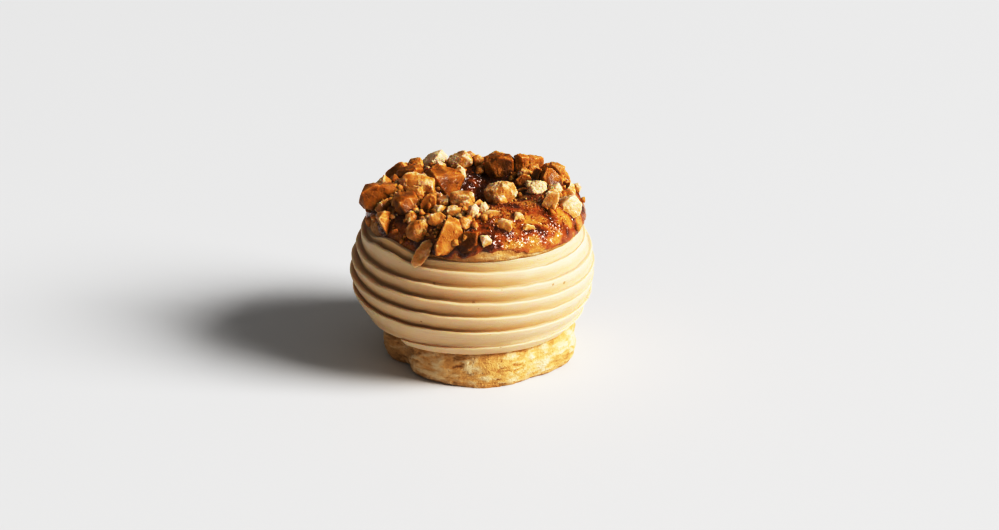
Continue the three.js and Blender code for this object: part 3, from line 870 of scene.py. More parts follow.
def crust_relief(piece, depth, seed):
    """Blisters, cracks that run along the ring, and flakes; writes how high each vertex lies, which the
    crust's colour uses for painted light and shade.
    """
    points = points_of(piece)
    drawn = points * np.array((1, 1, 3.2))  # cracks are three times as long as they are high
    lumps = noise_at(points, 6.5 * MM, seed=seed)
    blisters = 1 - np.clip(cells_at(points, 3.2 * MM, seed) / 0.75, 0, 1)
    cracks = 1 - np.clip(np.abs(noise_at(drawn, 5.5 * MM, 3, seed + 3)) / 0.16, 0, 1)
    where = smoothstep(noise_at(points, 9 * MM, seed=seed + 8), -0.15, 0.25)
    fine = noise_at(points, 1.1 * MM, 3, seed + 5)
    # The flakes' noise is read on a narrow tube, so that each runs a long way round the ring.
    narrow = 5 * MM
    turn = np.radians(azimuths_of(points - points.mean(axis=0)))
    tube = np.stack((narrow * np.sin(turn), narrow * np.cos(turn), points[:, 2]), axis=1)
    flakes = noise_at(tube, 0.9 * MM, 3, seed + 11)
    height = 0.5 * lumps + 0.45 * blisters - 1.1 * cracks * where + 0.3 * fine + 0.4 * flakes
    shove(piece, depth * height)
    write_attribute(piece, "ridge", np.clip(0.5 + 0.4 * height, 0, 1))


class PASTRY_OT_choux_base(bpy.types.Operator):
    """Model the baked choux base"""

    bl_idname = "pastry.choux_base"
    bl_label = "Choux base"

    def execute(self, context):
        settings = context.scene.pastry_choux
        base = ring_from_torus("crust_base", BASE["shift"], BASE_GRID, base_section)
        crust_relief(base, settings.relief, seed=2.0)
        stand_level(base, 0)
        surface = crust_material("choux_base", settings, base_browning)
        finish_piece(base, surface, "choux", "choux_base")
        return {"FINISHED"}


# ---------- praline cream ----------


def cream_envelope(height):
    """Radius of the piped barrel through its lips."""
    low = np.clip((CREAM["widest"] - height) / (CREAM["widest"] - CREAM["bottom"]), 0, 1)
    high = np.clip((height - CREAM["widest"]) / (CREAM["top"] - CREAM["widest"]), 0, 1)
    foot = CREAM["bottom_drop"] * low ** CREAM["bottom_bend"]
    return CREAM["radius"] - foot - CREAM["top_drop"] * high**2


def lip_height(turns):
    """Height of the lip after so many turns from where it is lowest in front."""
    stretched = np.maximum(0, turns - CREAM["stretch_from"])
    bend = CREAM["stretch"] * stretched**2 - CREAM["pitch_loss"] * turns**2
    leaning = smoothstep(turns, *CREAM["lean_from"])
    slope = CREAM["lean_rise"] + CREAM["lean"] * wave(360 * turns - CREAM["lean_azimuth"] - 90)
    height = CREAM["front_lip"] + CREAM["pitch"] * turns + bend + leaning * slope
    return height + sway(CREAM["lip_sway"], 360 * turns)


def uneven(along, size, reach, seed):
    """Piping by hand: smooth noise along the ribbon, its waves about size degrees long."""
    spots = np.stack((along / size, np.full_like(along, seed), np.zeros_like(along)), axis=1)
    return reach * np.array([noise.noise(Vector(spot)) for spot in spots])


def hand_sway(along, wobble):
    """How far a lip strays up or down: slow waves, and short nicks."""
    return sum(uneven(along, size, share * wobble, seed) for size, share, seed in LIP_WAVES)


def body_drift(along, wobble):
    """How far a turn stands out or lies back."""
    by_hand = sum(uneven(along, size, share * wobble, seed) for size, share, seed in BODY_WAVES)
    return sway(CREAM["body_sway"], along) + by_hand


def tail_recess(along):
    """How far the cream lies back where the ribbon has not begun."""
    begun = smoothstep(along, CREAM["tail"] - 1.5, CREAM["tail"])
    return CREAM["tail_recess"] * (1 - begun) * smoothstep(along, *CREAM["recess_fade"])


def ribbon_place(along, share, wobble):
    """Radius, height and groove depth of points on the strip: along it in degrees, share across."""
    lower = along / 360 - 1
    upper = along / 360
    low_lip = lip_height(lower) + hand_sway(along - 360, wobble)
    high_lip = lip_height(upper) + hand_sway(along, wobble)
    pitch = high_lip - low_lip
    # On the right the turns are pressed together, so that their grooves are shallow.
    free = 1 - swells(CREAM["pressed"], along)
    lower_open = lerp(CREAM["shut"], 1, smoothstep(along - 360, *CREAM["opening"])) * free
    upper_open = lerp(CREAM["shut"], 1, smoothstep(along, *CREAM["opening"])) * free
    corners = []
    for at, inset, rise in RIBBON_FOOT:
        corners.append((at, inset * lower_open, low_lip + rise * lower_open**2))
    for at, inset, rise in RIBBON_FACE:
        corners.append((at, inset * lerp(0.5, 1, lower_open), low_lip + rise * pitch))
    for at, inset, rise in (*RIBBON_LIP, (1.0, *RIBBON_FOOT[0][1:])):
        corners.append((at, inset * upper_open, high_lip + rise * upper_open**2))
    inset, height = through(corners, share)
    out = cream_envelope(np.clip(height, CREAM["bottom"], CREAM["top"]))
    # A turn's upper edge drifts with the turn above, so that the two meet.
    own, above = (body_drift(at, wobble) for at in (along, along + 360))
    drift = lerp(own, above, smoothstep(share, CREAM["joins_from"], 1))
    top_row = share > 0.995
    recess = np.where(top_row, tail_recess(along + 360), tail_recess(along))
    deepest = max(row[1] for row in RIBBON_FOOT)
    groove = np.clip(inset / deepest, 0, 1)
    return out - inset + drift - recess, height, groove


def wound_ribbon(wobble):
    """The cream's wall: one long strip wound up as a screw, its turns joined edge to edge."""
    choose()
    first, last = RIBBON_TURNS
    columns = round(RIBBON_COLUMNS * (last - first))
    bpy.ops.mesh.primitive_grid_add(x_subdivisions=columns, y_subdivisions=RIBBON_ROWS, size=1)
    cream = newest("piped_cream")
    flat = points_of(cream)
    along = 360 * lerp(first, last, flat[:, 0] + 0.5)
    share = flat[:, 1] + 0.5
    radius, height, groove = ribbon_place(along, share, wobble / MM)
    move_points(cream, placed(along, radius, height))
    # The cream's colour reads this depth as painted shade in the grooves.
    write_attribute(cream, "groove", groove)
    edit(cream)
    joined_within = 0.02 * MM
    bpy.ops.mesh.remove_doubles(threshold=joined_within)
    close_edit()
    modifier(cream, "SMOOTH", factor=0.5, iterations=2)
    return cream


def cut_level(piece, height, above):
    """Cuts a piece off level at a height, and leaves the cut's edge selected in edit mode."""
    edit(piece)
    bpy.ops.mesh.bisect(
        plane_co=(0, 0, height),
        plane_no=(0, 0, 1),
        clear_outer=above,
        clear_inner=not above,
        threshold=1e-7,
    )


def select_level(piece, height):
    """Selects the vertices at a height."""
    select_vertices(piece, np.abs(points_of(piece)[:, 2] - height) < 0.001 * MM)


def close_level(piece, height, hole):
    """Fills the flat between the piece's level edge and a round hole."""
    select_level(piece, height)
    bpy.ops.mesh.primitive_circle_add(vertices=HOLE_SIDES, radius=hole, location=(0, 0, height))
    close_edit()
    select_level(piece, height)
    bpy.ops.mesh.fill(use_beauty=True)
    close_edit()


def hug_lid(cream):
    """In front on the left, the end of the ribbon stands up against the lid."""
    points = points_of(cream)
    radius = np.hypot(points[:, 0], points[:, 1])
    bump = swells(HUG["place"], azimuths_of(points))
    top = smoothstep(points[:, 2], CREAM_HIGH.z - HUG["band"] * MM, CREAM_HIGH.z)
    share = bump * top * smoothstep(radius, HUG["inside"] * MM, HUG["outside"] * MM)
    points[:, 2] += HUG["rise"] * MM * share
    points[:, :2] *= (1 + HUG["out"] * MM * share / radius)[:, None]
    move_points(cream, points)


class PASTRY_OT_praline_cream(bpy.types.Operator):
    """Pipe the praline cream between the halves"""

    bl_idname = "pastry.praline_cream"
    bl_label = "Praline cream"

    def execute(self, context):
        settings = context.scene.pastry_cream
        cream = wound_ribbon(settings.wobble)
        low, high = CREAM_LOW.z, CREAM_HIGH.z + 0.2 * MM  # the lid presses a little into the cream
        cut_level(cream, low, above=False)
        cut_level(cream, high, above=True)
        close_edit()
        for level in (low, high):
            close_level(cream, level, CREAM["hole_end"] * MM)
        points = points_of(cream)
        inner = np.hypot(points[:, 0], points[:, 1]) < (CREAM["hole_end"] + 0.01) * MM
        select_vertices(cream, inner)
        bpy.ops.mesh.select_mode(type="EDGE")
        bpy.ops.mesh.bridge_edge_loops(number_cuts=HOLE_ROWS, profile_shape_factor=0.0)
        bpy.ops.mesh.select_all(action="SELECT")
        bpy.ops.mesh.normals_make_consistent(inside=False)
        close_edit()
        hug_lid(cream)
        finish_piece(cream, cream_material(settings), "praline_cream", "praline_cream")
        return {"FINISHED"}


# ---------- lid and glaze ----------


def lid_dome(azimuth, slope):
    """The lid's upper surface; slope runs from 0 at the rim over 90 at the crown to 180 in the hole."""
    rim = LID["radius"] + sway(LID["rim_sway"], azimuth)
    crown = LID["crown"] + sway(LID["crown_sway"], azimuth)
    shoulder = LID["bottom"] + LID["side"]
    outer = slope <= 90
    steep = np.where(outer, slope, 180 - slope)
    flatness = np.clip(np.cos(np.radians(steep)), 0, 1)
    outside, inside = LID["roundness"]
    across = 1 - np.where(outer, flatness**outside, flatness**inside)
    start = np.where(outer, rim, LID["hole"])
    return lerp(start, LID["crown_radius"], across), lerp(shoulder, crown, wave(steep))


def lid_section(azimuth, slope):
    """The whole lid; below slope 0 it runs back along the cut side to the hole."""
    radius, height = lid_dome(azimuth, np.clip(slope, 0, 180))
    rim = LID["radius"] + sway(LID["rim_sway"], azimuth)
    shoulder = LID["bottom"] + LID["side"]
    (inset_low, rise_low), (inset_high, rise_high) = LID["cut_edge"]
    depth = LID["cut_edge_depth"]
    share = np.clip(-slope / 180, 0, 1)
    # From the rim down the cut edge, level to the hole and up into it.
    corners = (
        (0.0, rim, shoulder),
        (0.12, rim - depth * inset_high, LID["bottom"] + rise_high),
        (0.2, rim - depth * inset_low, LID["bottom"] + rise_low),
        (0.9, LID["hole_end"], LID["bottom"]),
        (1.0, LID["hole"], shoulder),
    )
    cut_radius, cut_height = through(corners, share)
    cut = share > 0
    return np.where(cut, cut_radius, radius), np.where(cut, cut_height, height)


class PASTRY_OT_choux_lid(bpy.types.Operator):
    """Model the baked choux lid"""

    bl_idname = "pastry.choux_lid"
    bl_label = "Choux lid"

    def execute(self, context):
        settings = context.scene.pastry_choux
        lid = ring_from_torus("crust_lid", LID["shift"], CRUST_GRID, lid_section)
        crust_relief(lid, LID["relief"] * settings.relief, seed=6.0)
        stand_level(lid, LID_LOW.z)
        surface = crust_material("choux_lid", settings, lid_browning)
        finish_piece(lid, surface, "glazed_lid", "choux_lid")
        return {"FINISHED"}


def glaze_edge(azimuth):
    """Slope at which the caramel ends: low on the upright side, and higher up where crust is bare."""
    return GLAZE["edge"] + sway(GLAZE["edge_sway"], azimuth) + swells(GLAZE["bare"], azimuth)


def glaze_section_at(thickness):
    """The caramel's section, a thin lens over the crust; its lower half lies inside the crust."""

    def section(azimuth, slope):
        round_share = np.abs(slope) / 180
        here = lerp(glaze_edge(azimuth), GLAZE["inner_edge"], round_share)
        radius, height = lid_section(azimuth, here)
        ahead = lid_section(azimuth, here + 0.5)
        back = lid_section(azimuth, here - 0.5)
        run, rise = ahead[0] - back[0], ahead[1] - back[1]
        length = np.hypot(run, rise) + 1e-9
        edge = np.clip(np.minimum(round_share, 1 - round_share) / GLAZE["feather"], 0, 1)
        swell = thickness * np.sqrt(edge * (2 - edge))
        offset = np.where(slope > 0, swell, -GLAZE["under"])
        return radius + offset * rise / length, height - offset * run / length

    return section


def nut_surfaces(pieces):
    """One searchable surface of several pieces."""
    vertices, faces = [], []
    for piece in pieces:
        start = len(vertices)
        vertices.extend(vertex.co.copy() for vertex in piece.data.vertices)
        faces.extend([start + i for i in face.vertices] for face in piece.data.polygons)
    return BVHTree.FromPolygons(vertices, faces)


class PASTRY_OT_caramel_glaze(bpy.types.Operator):
    """Pour the caramel over the lid, up against the nuts"""

    bl_idname = "pastry.caramel_glaze"
    bl_label = "Caramel glaze"

    def execute(self, context):
        settings = context.scene.pastry_glaze
        section = glaze_section_at(settings.thickness / MM)
        glaze = ring_from_torus("caramel_glaze", LID["shift"], GLAZE_GRID, section)
        points = points_of(glaze)
        nuts = [piece for piece in bpy.data.objects if piece.name.startswith("nut")]
        surfaces = nut_surfaces(nuts)
        reach = GLAZE["climb"] * MM
        near = np.zeros(len(points))
        for i, point in enumerate(points):
            distance = surfaces.find_nearest(Vector(point), reach)[3]
            if distance is not None:
                near[i] = 1 - distance / reach
        ripples = noise_at(points, 3.4 * MM, 2, 4.0)
        crinkle = noise_at(points, 0.9 * MM, 2, 7.0)
        height = 0.35 * ripples + 0.32 * crinkle + 0.9 * near**2
        shove(glaze, 0.5 * MM * height)
        around = points - LID_MIDDLE
        inner = smoothstep(np.hypot(around[:, 0], around[:, 1]), 20 * MM, 14 * MM)
        thin = swells(GLAZE["thin"], azimuths_of(around))
        # Close to the nuts and towards the hole the caramel is darker: partly thicker caramel, partly
        # painted shade between the nuts and in the hole.
        thick = np.clip(0.4 + 0.45 * ripples + 0.6 * near + 0.3 * inner - 0.25 * thin, 0, 1)
        write_attribute(glaze, "thick", thick)
        finish_piece(glaze, caramel_material(settings), "glazed_lid")
        return {"FINISHED"}


# ---------- hazelnuts ----------

# Each large nut's tone, from 0, pale, to 1, burnt, and how crumbly it is, from 0 to 1. Below 0 a tone
# leaves no brown at all.
NUT_LOOKS = {
    1: (0.76, 0.10),
    2: (0.80, 0.05),
    3: (0.58, 0.25),
    4: (0.78, 0.15),
    5: (0.52, 0.60),
    6: (0.44, 0.62),
    7: (0.88, 0.30),
    8: (0.18, 0.50),
    9: (0.56, 0.50),
    10: (-0.12, 0.40),
    11: (0.40, 0.30),
    12: (0.94, 0.10),
    13: (0.50, 0.50),
    14: (0.72, 0.20),
    15: (0.56, 0.30),
    16: (0.74, 0.30),
    17: (0.02, 1.00),
    18: (0.36, 0.15),
    19: (0.82, 0.25),
    20: (0.72, 0.35),
    21: (0.76, 0.30),
    22: (0.80, 0.30),
    23: (0.50, 0.50),
    24: (0.50, 0.50),
    25: (0.60, 0.30),
    26: (0.46, 0.60),
    27: (0.64, 0.30),
    28: (0.40, 0.70),
}

# Small pieces that stand out from the rest: azimuth, radius, tone, crumbliness.
SMALL_LOOKS = (
    (-20, 31.6, 0.16, 0.2),
    (-2, 23.0, 0.2, 0.6),
    (7, 19.4, 0.12, 1.0),
    (12, 22.8, 0.2, 0.7),
    (16, 27.6, 0.3, 0.3),
    (6, 30.7, 0.12, 0.2),
    (27, 25.4, 0.2, 0.5),
    (32, 29.0, 0.24, 0.5),
    (-16, 22.2, 0.4, 0.3),
    (-29, 21.2, 0.22, 0.4),
)
SMALL_TONES = (0.2, 0.36, 0.45, 0.52, 0.6, 0.72)  # of the others


def standing_out(piece):
    """How far each vertex stands out from the middle of its neighbours, in metres."""
    points = points_of(piece)
    ends = np.empty(2 * len(piece.data.edges), np.int32)
    piece.data.edges.foreach_get("vertices", ends)
    one, other = ends.reshape(-1, 2).T
    ways = np.bincount(ends, minlength=len(points))

    def neighbours(values):
        total = np.bincount(one, values[other], len(points))
        return (total + np.bincount(other, values[one], len(points))) / ways

    middles = np.stack([neighbours(points[:, axis]) for axis in range(3)], axis=1)
    out = ((points - middles) * normals_of(piece)).sum(axis=1)
    return neighbours(neighbours(out))


def dress_nut(nut, voxel, tone, crumbly, crust):
    """Turns a faceted chunk into a broken nut: soft edges, and crumbs in patches where it is crumbly."""
    modifier(nut, "REMESH", mode="VOXEL", voxel_size=voxel)
    modifier(nut, "SMOOTH", factor=0.5, iterations=2)
    # How far each vertex stands out, used to paint the edges paler: painted light.
    edge = np.clip(standing_out(nut) / (0.02 * MM), 0, 1)
    points = points_of(nut)
    upward = normals_of(nut)[:, 2]
    start = 0.55 - crumbly
    rough = smoothstep(noise_at(points, 2.4 * MM, 2, 9.0) + 0.2 * upward, start, start + 0.35)
    lumps = noise_at(points, 2.8 * MM, seed=1.0)
    chips = chips_at(points, 2.6 * MM)
    grains = 1 - np.clip(cells_at(points, 0.9 * MM, 3.0) / 0.8, 0, 1)
    fine = noise_at(points, 0.55 * MM, 2, 6.0)
    crumbs = rough * (0.32 * (grains - 0.35) + 0.12 * fine)
    shove(nut, MM * (0.1 * lumps + 0.16 * chips + crumbs + 0.04 * fine))
    sunk = np.array([crust.find_nearest(Vector(point))[3] for point in points])
    syrup = 1 - smoothstep(sunk, 0.4 * MM, 2.4 * MM)
    # Edges that stand out are painted paler, a painted light as if it shone through thin edges; syrup,
    # crumbly patches and lumps change the nut's own tone.
    toast = tone + 0.3 * syrup - 0.22 * edge - 0.2 * rough * (1 - syrup) + 0.16 * lumps + 0.08 * chips
    write_attribute(nut, "tone", np.clip(toast, 0, 1))
    write_attribute(nut, "crumbly", rough)


def chips_at(points, size):
    """Where small flat chips broke off: each cell of space is cut at a slant of its own."""
    noise.seed_set(CHIP_SEED)  # or the noise vectors would follow the clock
    slants = []
    for place in points / size:
        seed = noise.voronoi(Vector(place))[1][0]
        slants.append((Vector(place) - seed).dot(noise.noise_vector(7.3 * seed)))
    return 2 * np.array(slants)


def merge_loose(piece):
    """A CAD node's copy is loose triangles: joins them."""
    edit(piece)
    bpy.ops.mesh.remove_doubles(threshold=0.001 * MM)
    close_edit()


def copy_of_node(name, node):
    """A new piece with a copy of a node's mesh."""
    piece = bpy.data.objects.new(name, NODES[node].data.copy())
    bpy.context.scene.collection.objects.link(piece)
    merge_loose(piece)
    return piece


class PASTRY_OT_hazelnuts(bpy.types.Operator):
    """Finish the large broken hazelnuts"""

    bl_idname = "pastry.hazelnuts"
    bl_label = "Hazelnuts"

    def execute(self, context):
        surface = nut_material(context.scene.pastry_nuts)
        crust = plain_lid_surface()
        for number, (tone, crumbly) in NUT_LOOKS.items():
            node = f"hazelnut_{number:02d}"
            nut = copy_of_node(f"nut_{number:02d}", node)
            dress_nut(nut, NUT_VOXEL, tone, crumbly, crust)
            finish_piece(nut, surface, "hazelnut", node)
        return {"FINISHED"}


def plain_lid_surface():
    """The lid's solid without its nuts, to tell its faces from theirs."""
    columns = 48
    slopes = [18 * i for i in range(5)] + [90 + 22.5 * i for i in range(5)]
    rows = len(slopes)
    vertices, faces = [], []
    for j in range(columns):
        azimuth = np.full(rows, -180 + 360 * j / columns)
        radius, height = lid_dome(azimuth, np.array(slopes, float))
        vertices.extend(placed(azimuth, radius, height) + LID_MIDDLE)
        ahead = (j + 1) % columns
        for i in range(rows - 1):
            a, b = j * rows + i, j * rows + i + 1
            d, c = ahead * rows + i, ahead * rows + i + 1
            faces += [(a, d, b), (d, c, b)]
    return BVHTree.FromPolygons([Vector(v) for v in vertices], faces)


def small_nut_caps():
    """The small nuts that stand out of the lid's solid, each as a piece that is open below."""
    caps = copy_of_node("small_nuts", "choux_lid")
    crust = plain_lid_surface()
    points = points_of(caps)
    touching = 0.004 * MM
    side_top = (LID["bottom"] + LID["side"] + 0.005) * MM
    on_crust = np.array([crust.find_nearest(Vector(p))[3] < touching for p in points])
    plain = on_crust | (points[:, 2] < side_top)
    underside = points[:, 2].min() + 3 * MM
    chosen = []
    for face in caps.data.polygons:
        level = face.center.z < underside or crust.find_nearest(face.center)[3] < touching
        chosen.append(level and all(plain[i] for i in face.vertices))
    choose(caps)
    bpy.ops.object.mode_set(mode="EDIT")
    bpy.ops.mesh.select_mode(type="FACE")
    bpy.ops.mesh.select_all(action="DESELECT")
    close_edit()
    caps.data.polygons.foreach_set("select", np.array(chosen))
    bpy.ops.object.mode_set(mode="EDIT")
    bpy.ops.mesh.delete(type="FACE")
    bpy.ops.mesh.select_all(action="SELECT")
    bpy.ops.mesh.separate(type="LOOSE")
    close_edit()
    return list(bpy.context.selected_objects)


def root_nut(nut):
    """Sinks a nut's open edge into the crust, and closes it there."""
    choose(nut)
    bpy.ops.object.mode_set(mode="EDIT")
    bpy.ops.mesh.select_mode(type="EDGE")
    bpy.ops.mesh.select_all(action="DESELECT")
    bpy.ops.mesh.select_non_manifold()
    bpy.ops.mesh.extrude_edges_move()
    close_edit()
    sunk = np.zeros(len(nut.data.vertices), bool)
    nut.data.vertices.foreach_get("select", sunk)
    points = points_of(nut)
    heights = np.full(len(points), NUT_ROOT["height"])
    core = placed(azimuths_of(points - LID_MIDDLE), NUT_ROOT["radius"], heights) + LID_MIDDLE
    inwards = core - points
    inwards /= np.linalg.norm(inwards, axis=1)[:, None]
    points[sunk] += NUT_ROOT["depth"] * MM * inwards[sunk]
    move_points(nut, points)
    bpy.ops.object.mode_set(mode="EDIT")
    bpy.ops.mesh.edge_face_add()
    bpy.ops.mesh.select_all(action="SELECT")
    bpy.ops.mesh.quads_convert_to_tris()
    bpy.ops.mesh.normals_make_consistent(inside=False)
    close_edit()


def small_look(middle, chance):
    """Tone and crumbliness of a small nut: as listed if it is near a listed place, or by chance."""
    near = 1.6 * MM
    for azimuth, radius, tone, crumbly in SMALL_LOOKS:
        spot = placed(np.array([azimuth]), np.array([radius]), np.zeros(1))[0]
        spot[0] += LID["shift"] * MM
        if math.hypot(spot[0] - middle[0], spot[1] - middle[1]) < near:
            return tone, crumbly
    return chance.choice(SMALL_TONES), chance.uniform(0.1, 0.9)


class PASTRY_OT_small_hazelnuts(bpy.types.Operator):
    """Finish the small hazelnut pieces that are stuck in the glaze"""

    bl_idname = "pastry.small_hazelnuts"
    bl_label = "Small hazelnuts"

    def execute(self, context):
        chance = random.Random(5)
        nuts = small_nut_caps()
        crust = plain_lid_surface()
        for nut in nuts:
            root_nut(nut)
            middle = points_of(nut).mean(axis=0)
            dress_nut(nut, SMALL_NUT_VOXEL, *small_look(middle, chance), crust)
        choose(nuts[0])
        for nut in nuts:
            nut.select_set(True)
        bpy.ops.object.join()
        joined = bpy.context.object
        joined.name = "nuts_small"
        finish_piece(joined, bpy.data.materials["broken_hazelnut"], "hazelnut", "choux_lid")
        return {"FINISHED"}


# ---------- crumbs and bubbles ----------


def glazed_top():
    """One searchable surface of the lid and its glaze."""
    return nut_surfaces([bpy.data.objects["caramel_glaze"], bpy.data.objects["crust_lid"]])


def strewn(name, count, kind, spot_at):
    """Grains dropped on the lid: a small ball made once, and copied in sizes and shapes of its own."""
    top = glazed_top()
    chance = random.Random(kind["seed"])
    drop_height = 80 * MM
    lowest = LID_LOW.z + 1.5 * MM
    least, spread = kind["size"]
    choose()
    bpy.ops.mesh.primitive_ico_sphere_add(subdivisions=kind["divided"], radius=1)
    grain = newest(name)
    shape = points_of(grain)
    faces = [tuple(face.vertices) for face in grain.data.polygons]
    vertices, corners = [], []
    while len(vertices) < count * len(shape):
        azimuth, radius = spot_at(chance)
        x = radius * MM * math.sin(math.radians(azimuth)) + LID["shift"] * MM
        y = -radius * MM * math.cos(math.radians(azimuth))
        ground, normal, _, _ = top.ray_cast(Vector((x, y, drop_height)), Vector((0, 0, -1)))
        if ground is None or ground.z < lowest:
            continue
        size = (least + spread * chance.random() ** 2) * MM
        fallen = Vector((chance.random(), chance.random(), chance.random()))
        lay = (normal if kind["along"] else fallen).to_track_quat("Z", "Y").to_matrix()
        stretch = np.array([chance.uniform(0.7, 1.25), chance.uniform(0.7, 1.25), 1.0])
        own = shape * (1 + kind["bumps"] * (np.array([chance.random() for _ in shape]) - 0.5))[:, None]
        own = (own * stretch * size * 0.5) @ np.array(lay).T
        start = len(vertices)
        centre = np.array(ground + normal * size * kind["rise"])
        vertices.extend(own + centre)
        corners.extend(tuple(start + i for i in face) for face in faces)
    grain.data.clear_geometry()
    grain.data.from_pydata(vertices, [], corners)
    grain.data.update()
    return grain


def spot_in(zone, chance):
    azimuths, radii = zone
    return chance.uniform(*azimuths), chance.uniform(*radii)


def crumb_spot(chance):
    """Azimuth and radius of a crumb: anywhere, but seldom on bare caramel, and often at the left."""
    inner, width = 11, 20
    azimuth, radius = chance.uniform(-180, 180), inner + width * chance.random() ** 0.7
    if 20 < azimuth < 75 and chance.random() < 0.8:
        azimuth -= 90
    if chance.random() < 0.3:
        return spot_in(LEFT_FRONT, chance)
    return azimuth, radius


def bubble_spot(chance):
    """Azimuth and radius of a bubble: mostly in the bare caramel, and some at the left edge."""
    if chance.random() < 0.06:
        return spot_in(LEFT_EDGE, chance)
    if chance.random() < 0.6:
        return spot_in(BARE_CARAMEL, chance)
    return spot_in(ALL_ROUND, chance)


class PASTRY_OT_crumbs(bpy.types.Operator):
    """Strew hazelnut crumbs over the lid"""

    bl_idname = "pastry.crumbs"
    bl_label = "Crumbs"

    def execute(self, context):
        count = context.scene.pastry_nuts.crumbs
        crumbs = strewn("nut_crumbs", count, CRUMBS, crumb_spot)
        points = points_of(crumbs)
        tone = np.clip(0.45 + 0.5 * noise_at(points, 2 * MM, seed=12.0), 0, 1)
        write_attribute(crumbs, "tone", tone)
        write_attribute(crumbs, "crumbly", 0.35)
        finish_piece(crumbs, bpy.data.materials["broken_hazelnut"], "hazelnut")
        return {"FINISHED"}


class PASTRY_OT_bubbles(bpy.types.Operator):
    """Set bubbles in the bare caramel"""

    bl_idname = "pastry.bubbles"
    bl_label = "Bubbles"

    def execute(self, context):
        count = context.scene.pastry_glaze.bubbles
        bubbles = strewn("caramel_bubbles", count, BUBBLES, bubble_spot)
        write_attribute(bubbles, "thick", 0.25)
        finish_piece(bubbles, bpy.data.materials["caramel_glaze"], "glazed_lid")
        return {"FINISHED"}


# ---------- stage ----------


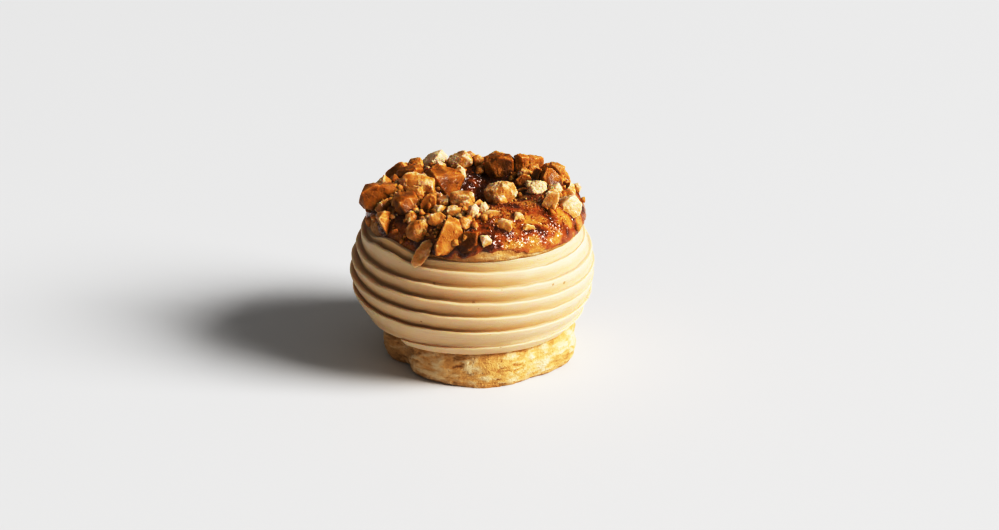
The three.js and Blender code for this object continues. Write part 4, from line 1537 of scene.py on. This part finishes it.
class PASTRY_OT_stage(bpy.types.Operator):
    """Lay the floor, and set the light and the camera"""

    bl_idname = "pastry.stage"
    bl_label = "Stage"

    def execute(self, context):
        settings = context.scene.pastry_stage
        self.lay_floor(settings)
        self.hang_light(context, settings)
        self.set_card(context, settings)
        self.light_room(context, settings)
        self.set_camera(context, settings)
        self.set_tones(context)
        return {"FINISHED"}

    def stand(self, context, data, place, facing):
        """Puts a lamp or a camera at a place, turned the way it faces."""
        holder = bpy.data.objects.new(data.name, data)
        holder.location = place
        holder.rotation_euler = Vector(facing).to_track_quat("-Z", "Y").to_euler()
        context.scene.collection.objects.link(holder)
        return holder

    def lay_floor(self, settings):
        choose()
        floor_side = 4
        bpy.ops.mesh.primitive_plane_add(size=floor_side)
        floor = newest("floor")
        floor.data.materials.append(floor_material(settings))

    def hang_light(self, context, settings):
        elevation = settings.key_elevation
        azimuth = settings.key_azimuth
        aim = Vector((0, 0, 0.03))
        towards = Vector(
            (
                math.cos(azimuth) * math.cos(elevation),
                -math.sin(azimuth) * math.cos(elevation),
                math.sin(elevation),
            )
        )
        light = bpy.data.lights.new("soft_box", "AREA")
        light.size = settings.key_size
        light.energy = settings.key_power
        self.stand(context, light, settings.key_distance * towards + aim, -towards)

    def set_card(self, context, settings):
        """A warm card in front throws a little light back into the shade."""
        card = bpy.data.lights.new("warm_card", "AREA")
        card.shape = "RECTANGLE"
        card.size, card.size_y = CARD["size"]
        card.energy = settings.card_power
        card.color = CARD["colour"]
        self.stand(context, card, CARD["middle"], CARD["facing"])

    def light_room(self, context, settings):
        world = bpy.data.worlds.new("room")
        world.use_nodes = True
        background = world.node_tree.nodes["Background"]
        background.inputs["Color"].default_value = (1, 1, 1, 1)
        background.inputs["Strength"].default_value = settings.fill
        context.scene.world = world

    def set_camera(self, context, settings):
        image_width = 999
        metres_per_pixel = 0.00029
        target = Vector((0.0078, 0, 0.0263))
        tilt = settings.camera_elevation
        distance = settings.camera_distance
        forward = Vector((0, math.cos(tilt), -math.sin(tilt)))
        camera = bpy.data.cameras.new("camera")
        camera.lens = camera.sensor_width * distance / (image_width * metres_per_pixel)
        context.scene.camera = self.stand(context, camera, target - distance * forward, forward)

    def set_tones(self, context):
        """A gentle print contrast: deeper shade, and lights that stay soft."""
        view = context.scene.view_settings
        view.view_transform = "Standard"
        view.use_curve_mapping = True
        view.curve_mapping.clip_max_x = BRIGHTEST
        curve = view.curve_mapping.curves[COMBINED]
        curve.points[-1].location = (BRIGHTEST, 1.0)
        for place, tone in PRINT_TONES:
            curve.points.new(place, tone)
        view.curve_mapping.update()


# ---------- the add-on ----------

SETTINGS = {
    "pastry_choux": PastryChoux,
    "pastry_cream": PastryCream,
    "pastry_glaze": PastryGlaze,
    "pastry_nuts": PastryNuts,
    "pastry_stage": PastryStage,
}
OPERATORS = (
    PASTRY_OT_stage,
    PASTRY_OT_choux_base,
    PASTRY_OT_praline_cream,
    PASTRY_OT_choux_lid,
    PASTRY_OT_hazelnuts,
    PASTRY_OT_small_hazelnuts,
    PASTRY_OT_caramel_glaze,
    PASTRY_OT_crumbs,
    PASTRY_OT_bubbles,
)


class PASTRY_PT_sidebar(bpy.types.Panel):
    """Lists the pastry's settings and the steps that make it"""

    bl_idname = "PASTRY_PT_sidebar"
    bl_label = "Paris-Brest"
    bl_space_type = "VIEW_3D"
    bl_region_type = "UI"
    bl_category = "Pastry"

    def draw(self, context):
        for name, group in SETTINGS.items():
            box = self.layout.box()
            for setting in group.__annotations__:
                box.prop(getattr(context.scene, name), setting)
        for operator in OPERATORS:
            self.layout.operator(operator.bl_idname)


def register():
    for group in SETTINGS.values():
        bpy.utils.register_class(group)
    for operator in OPERATORS:
        bpy.utils.register_class(operator)
    bpy.utils.register_class(PASTRY_PT_sidebar)
    for name, group in SETTINGS.items():
        setattr(bpy.types.Scene, name, bpy.props.PointerProperty(type=group))


def unregister():
    for name in SETTINGS:
        delattr(bpy.types.Scene, name)
    bpy.utils.unregister_class(PASTRY_PT_sidebar)
    for operator in reversed(OPERATORS):
        bpy.utils.unregister_class(operator)
    for group in reversed(SETTINGS.values()):
        bpy.utils.unregister_class(group)


def main():
    register()
    for operator in OPERATORS:
        group, name = operator.bl_idname.split(".")
        getattr(getattr(bpy.ops, group), name)()


if __name__ == "__main__":
    main()
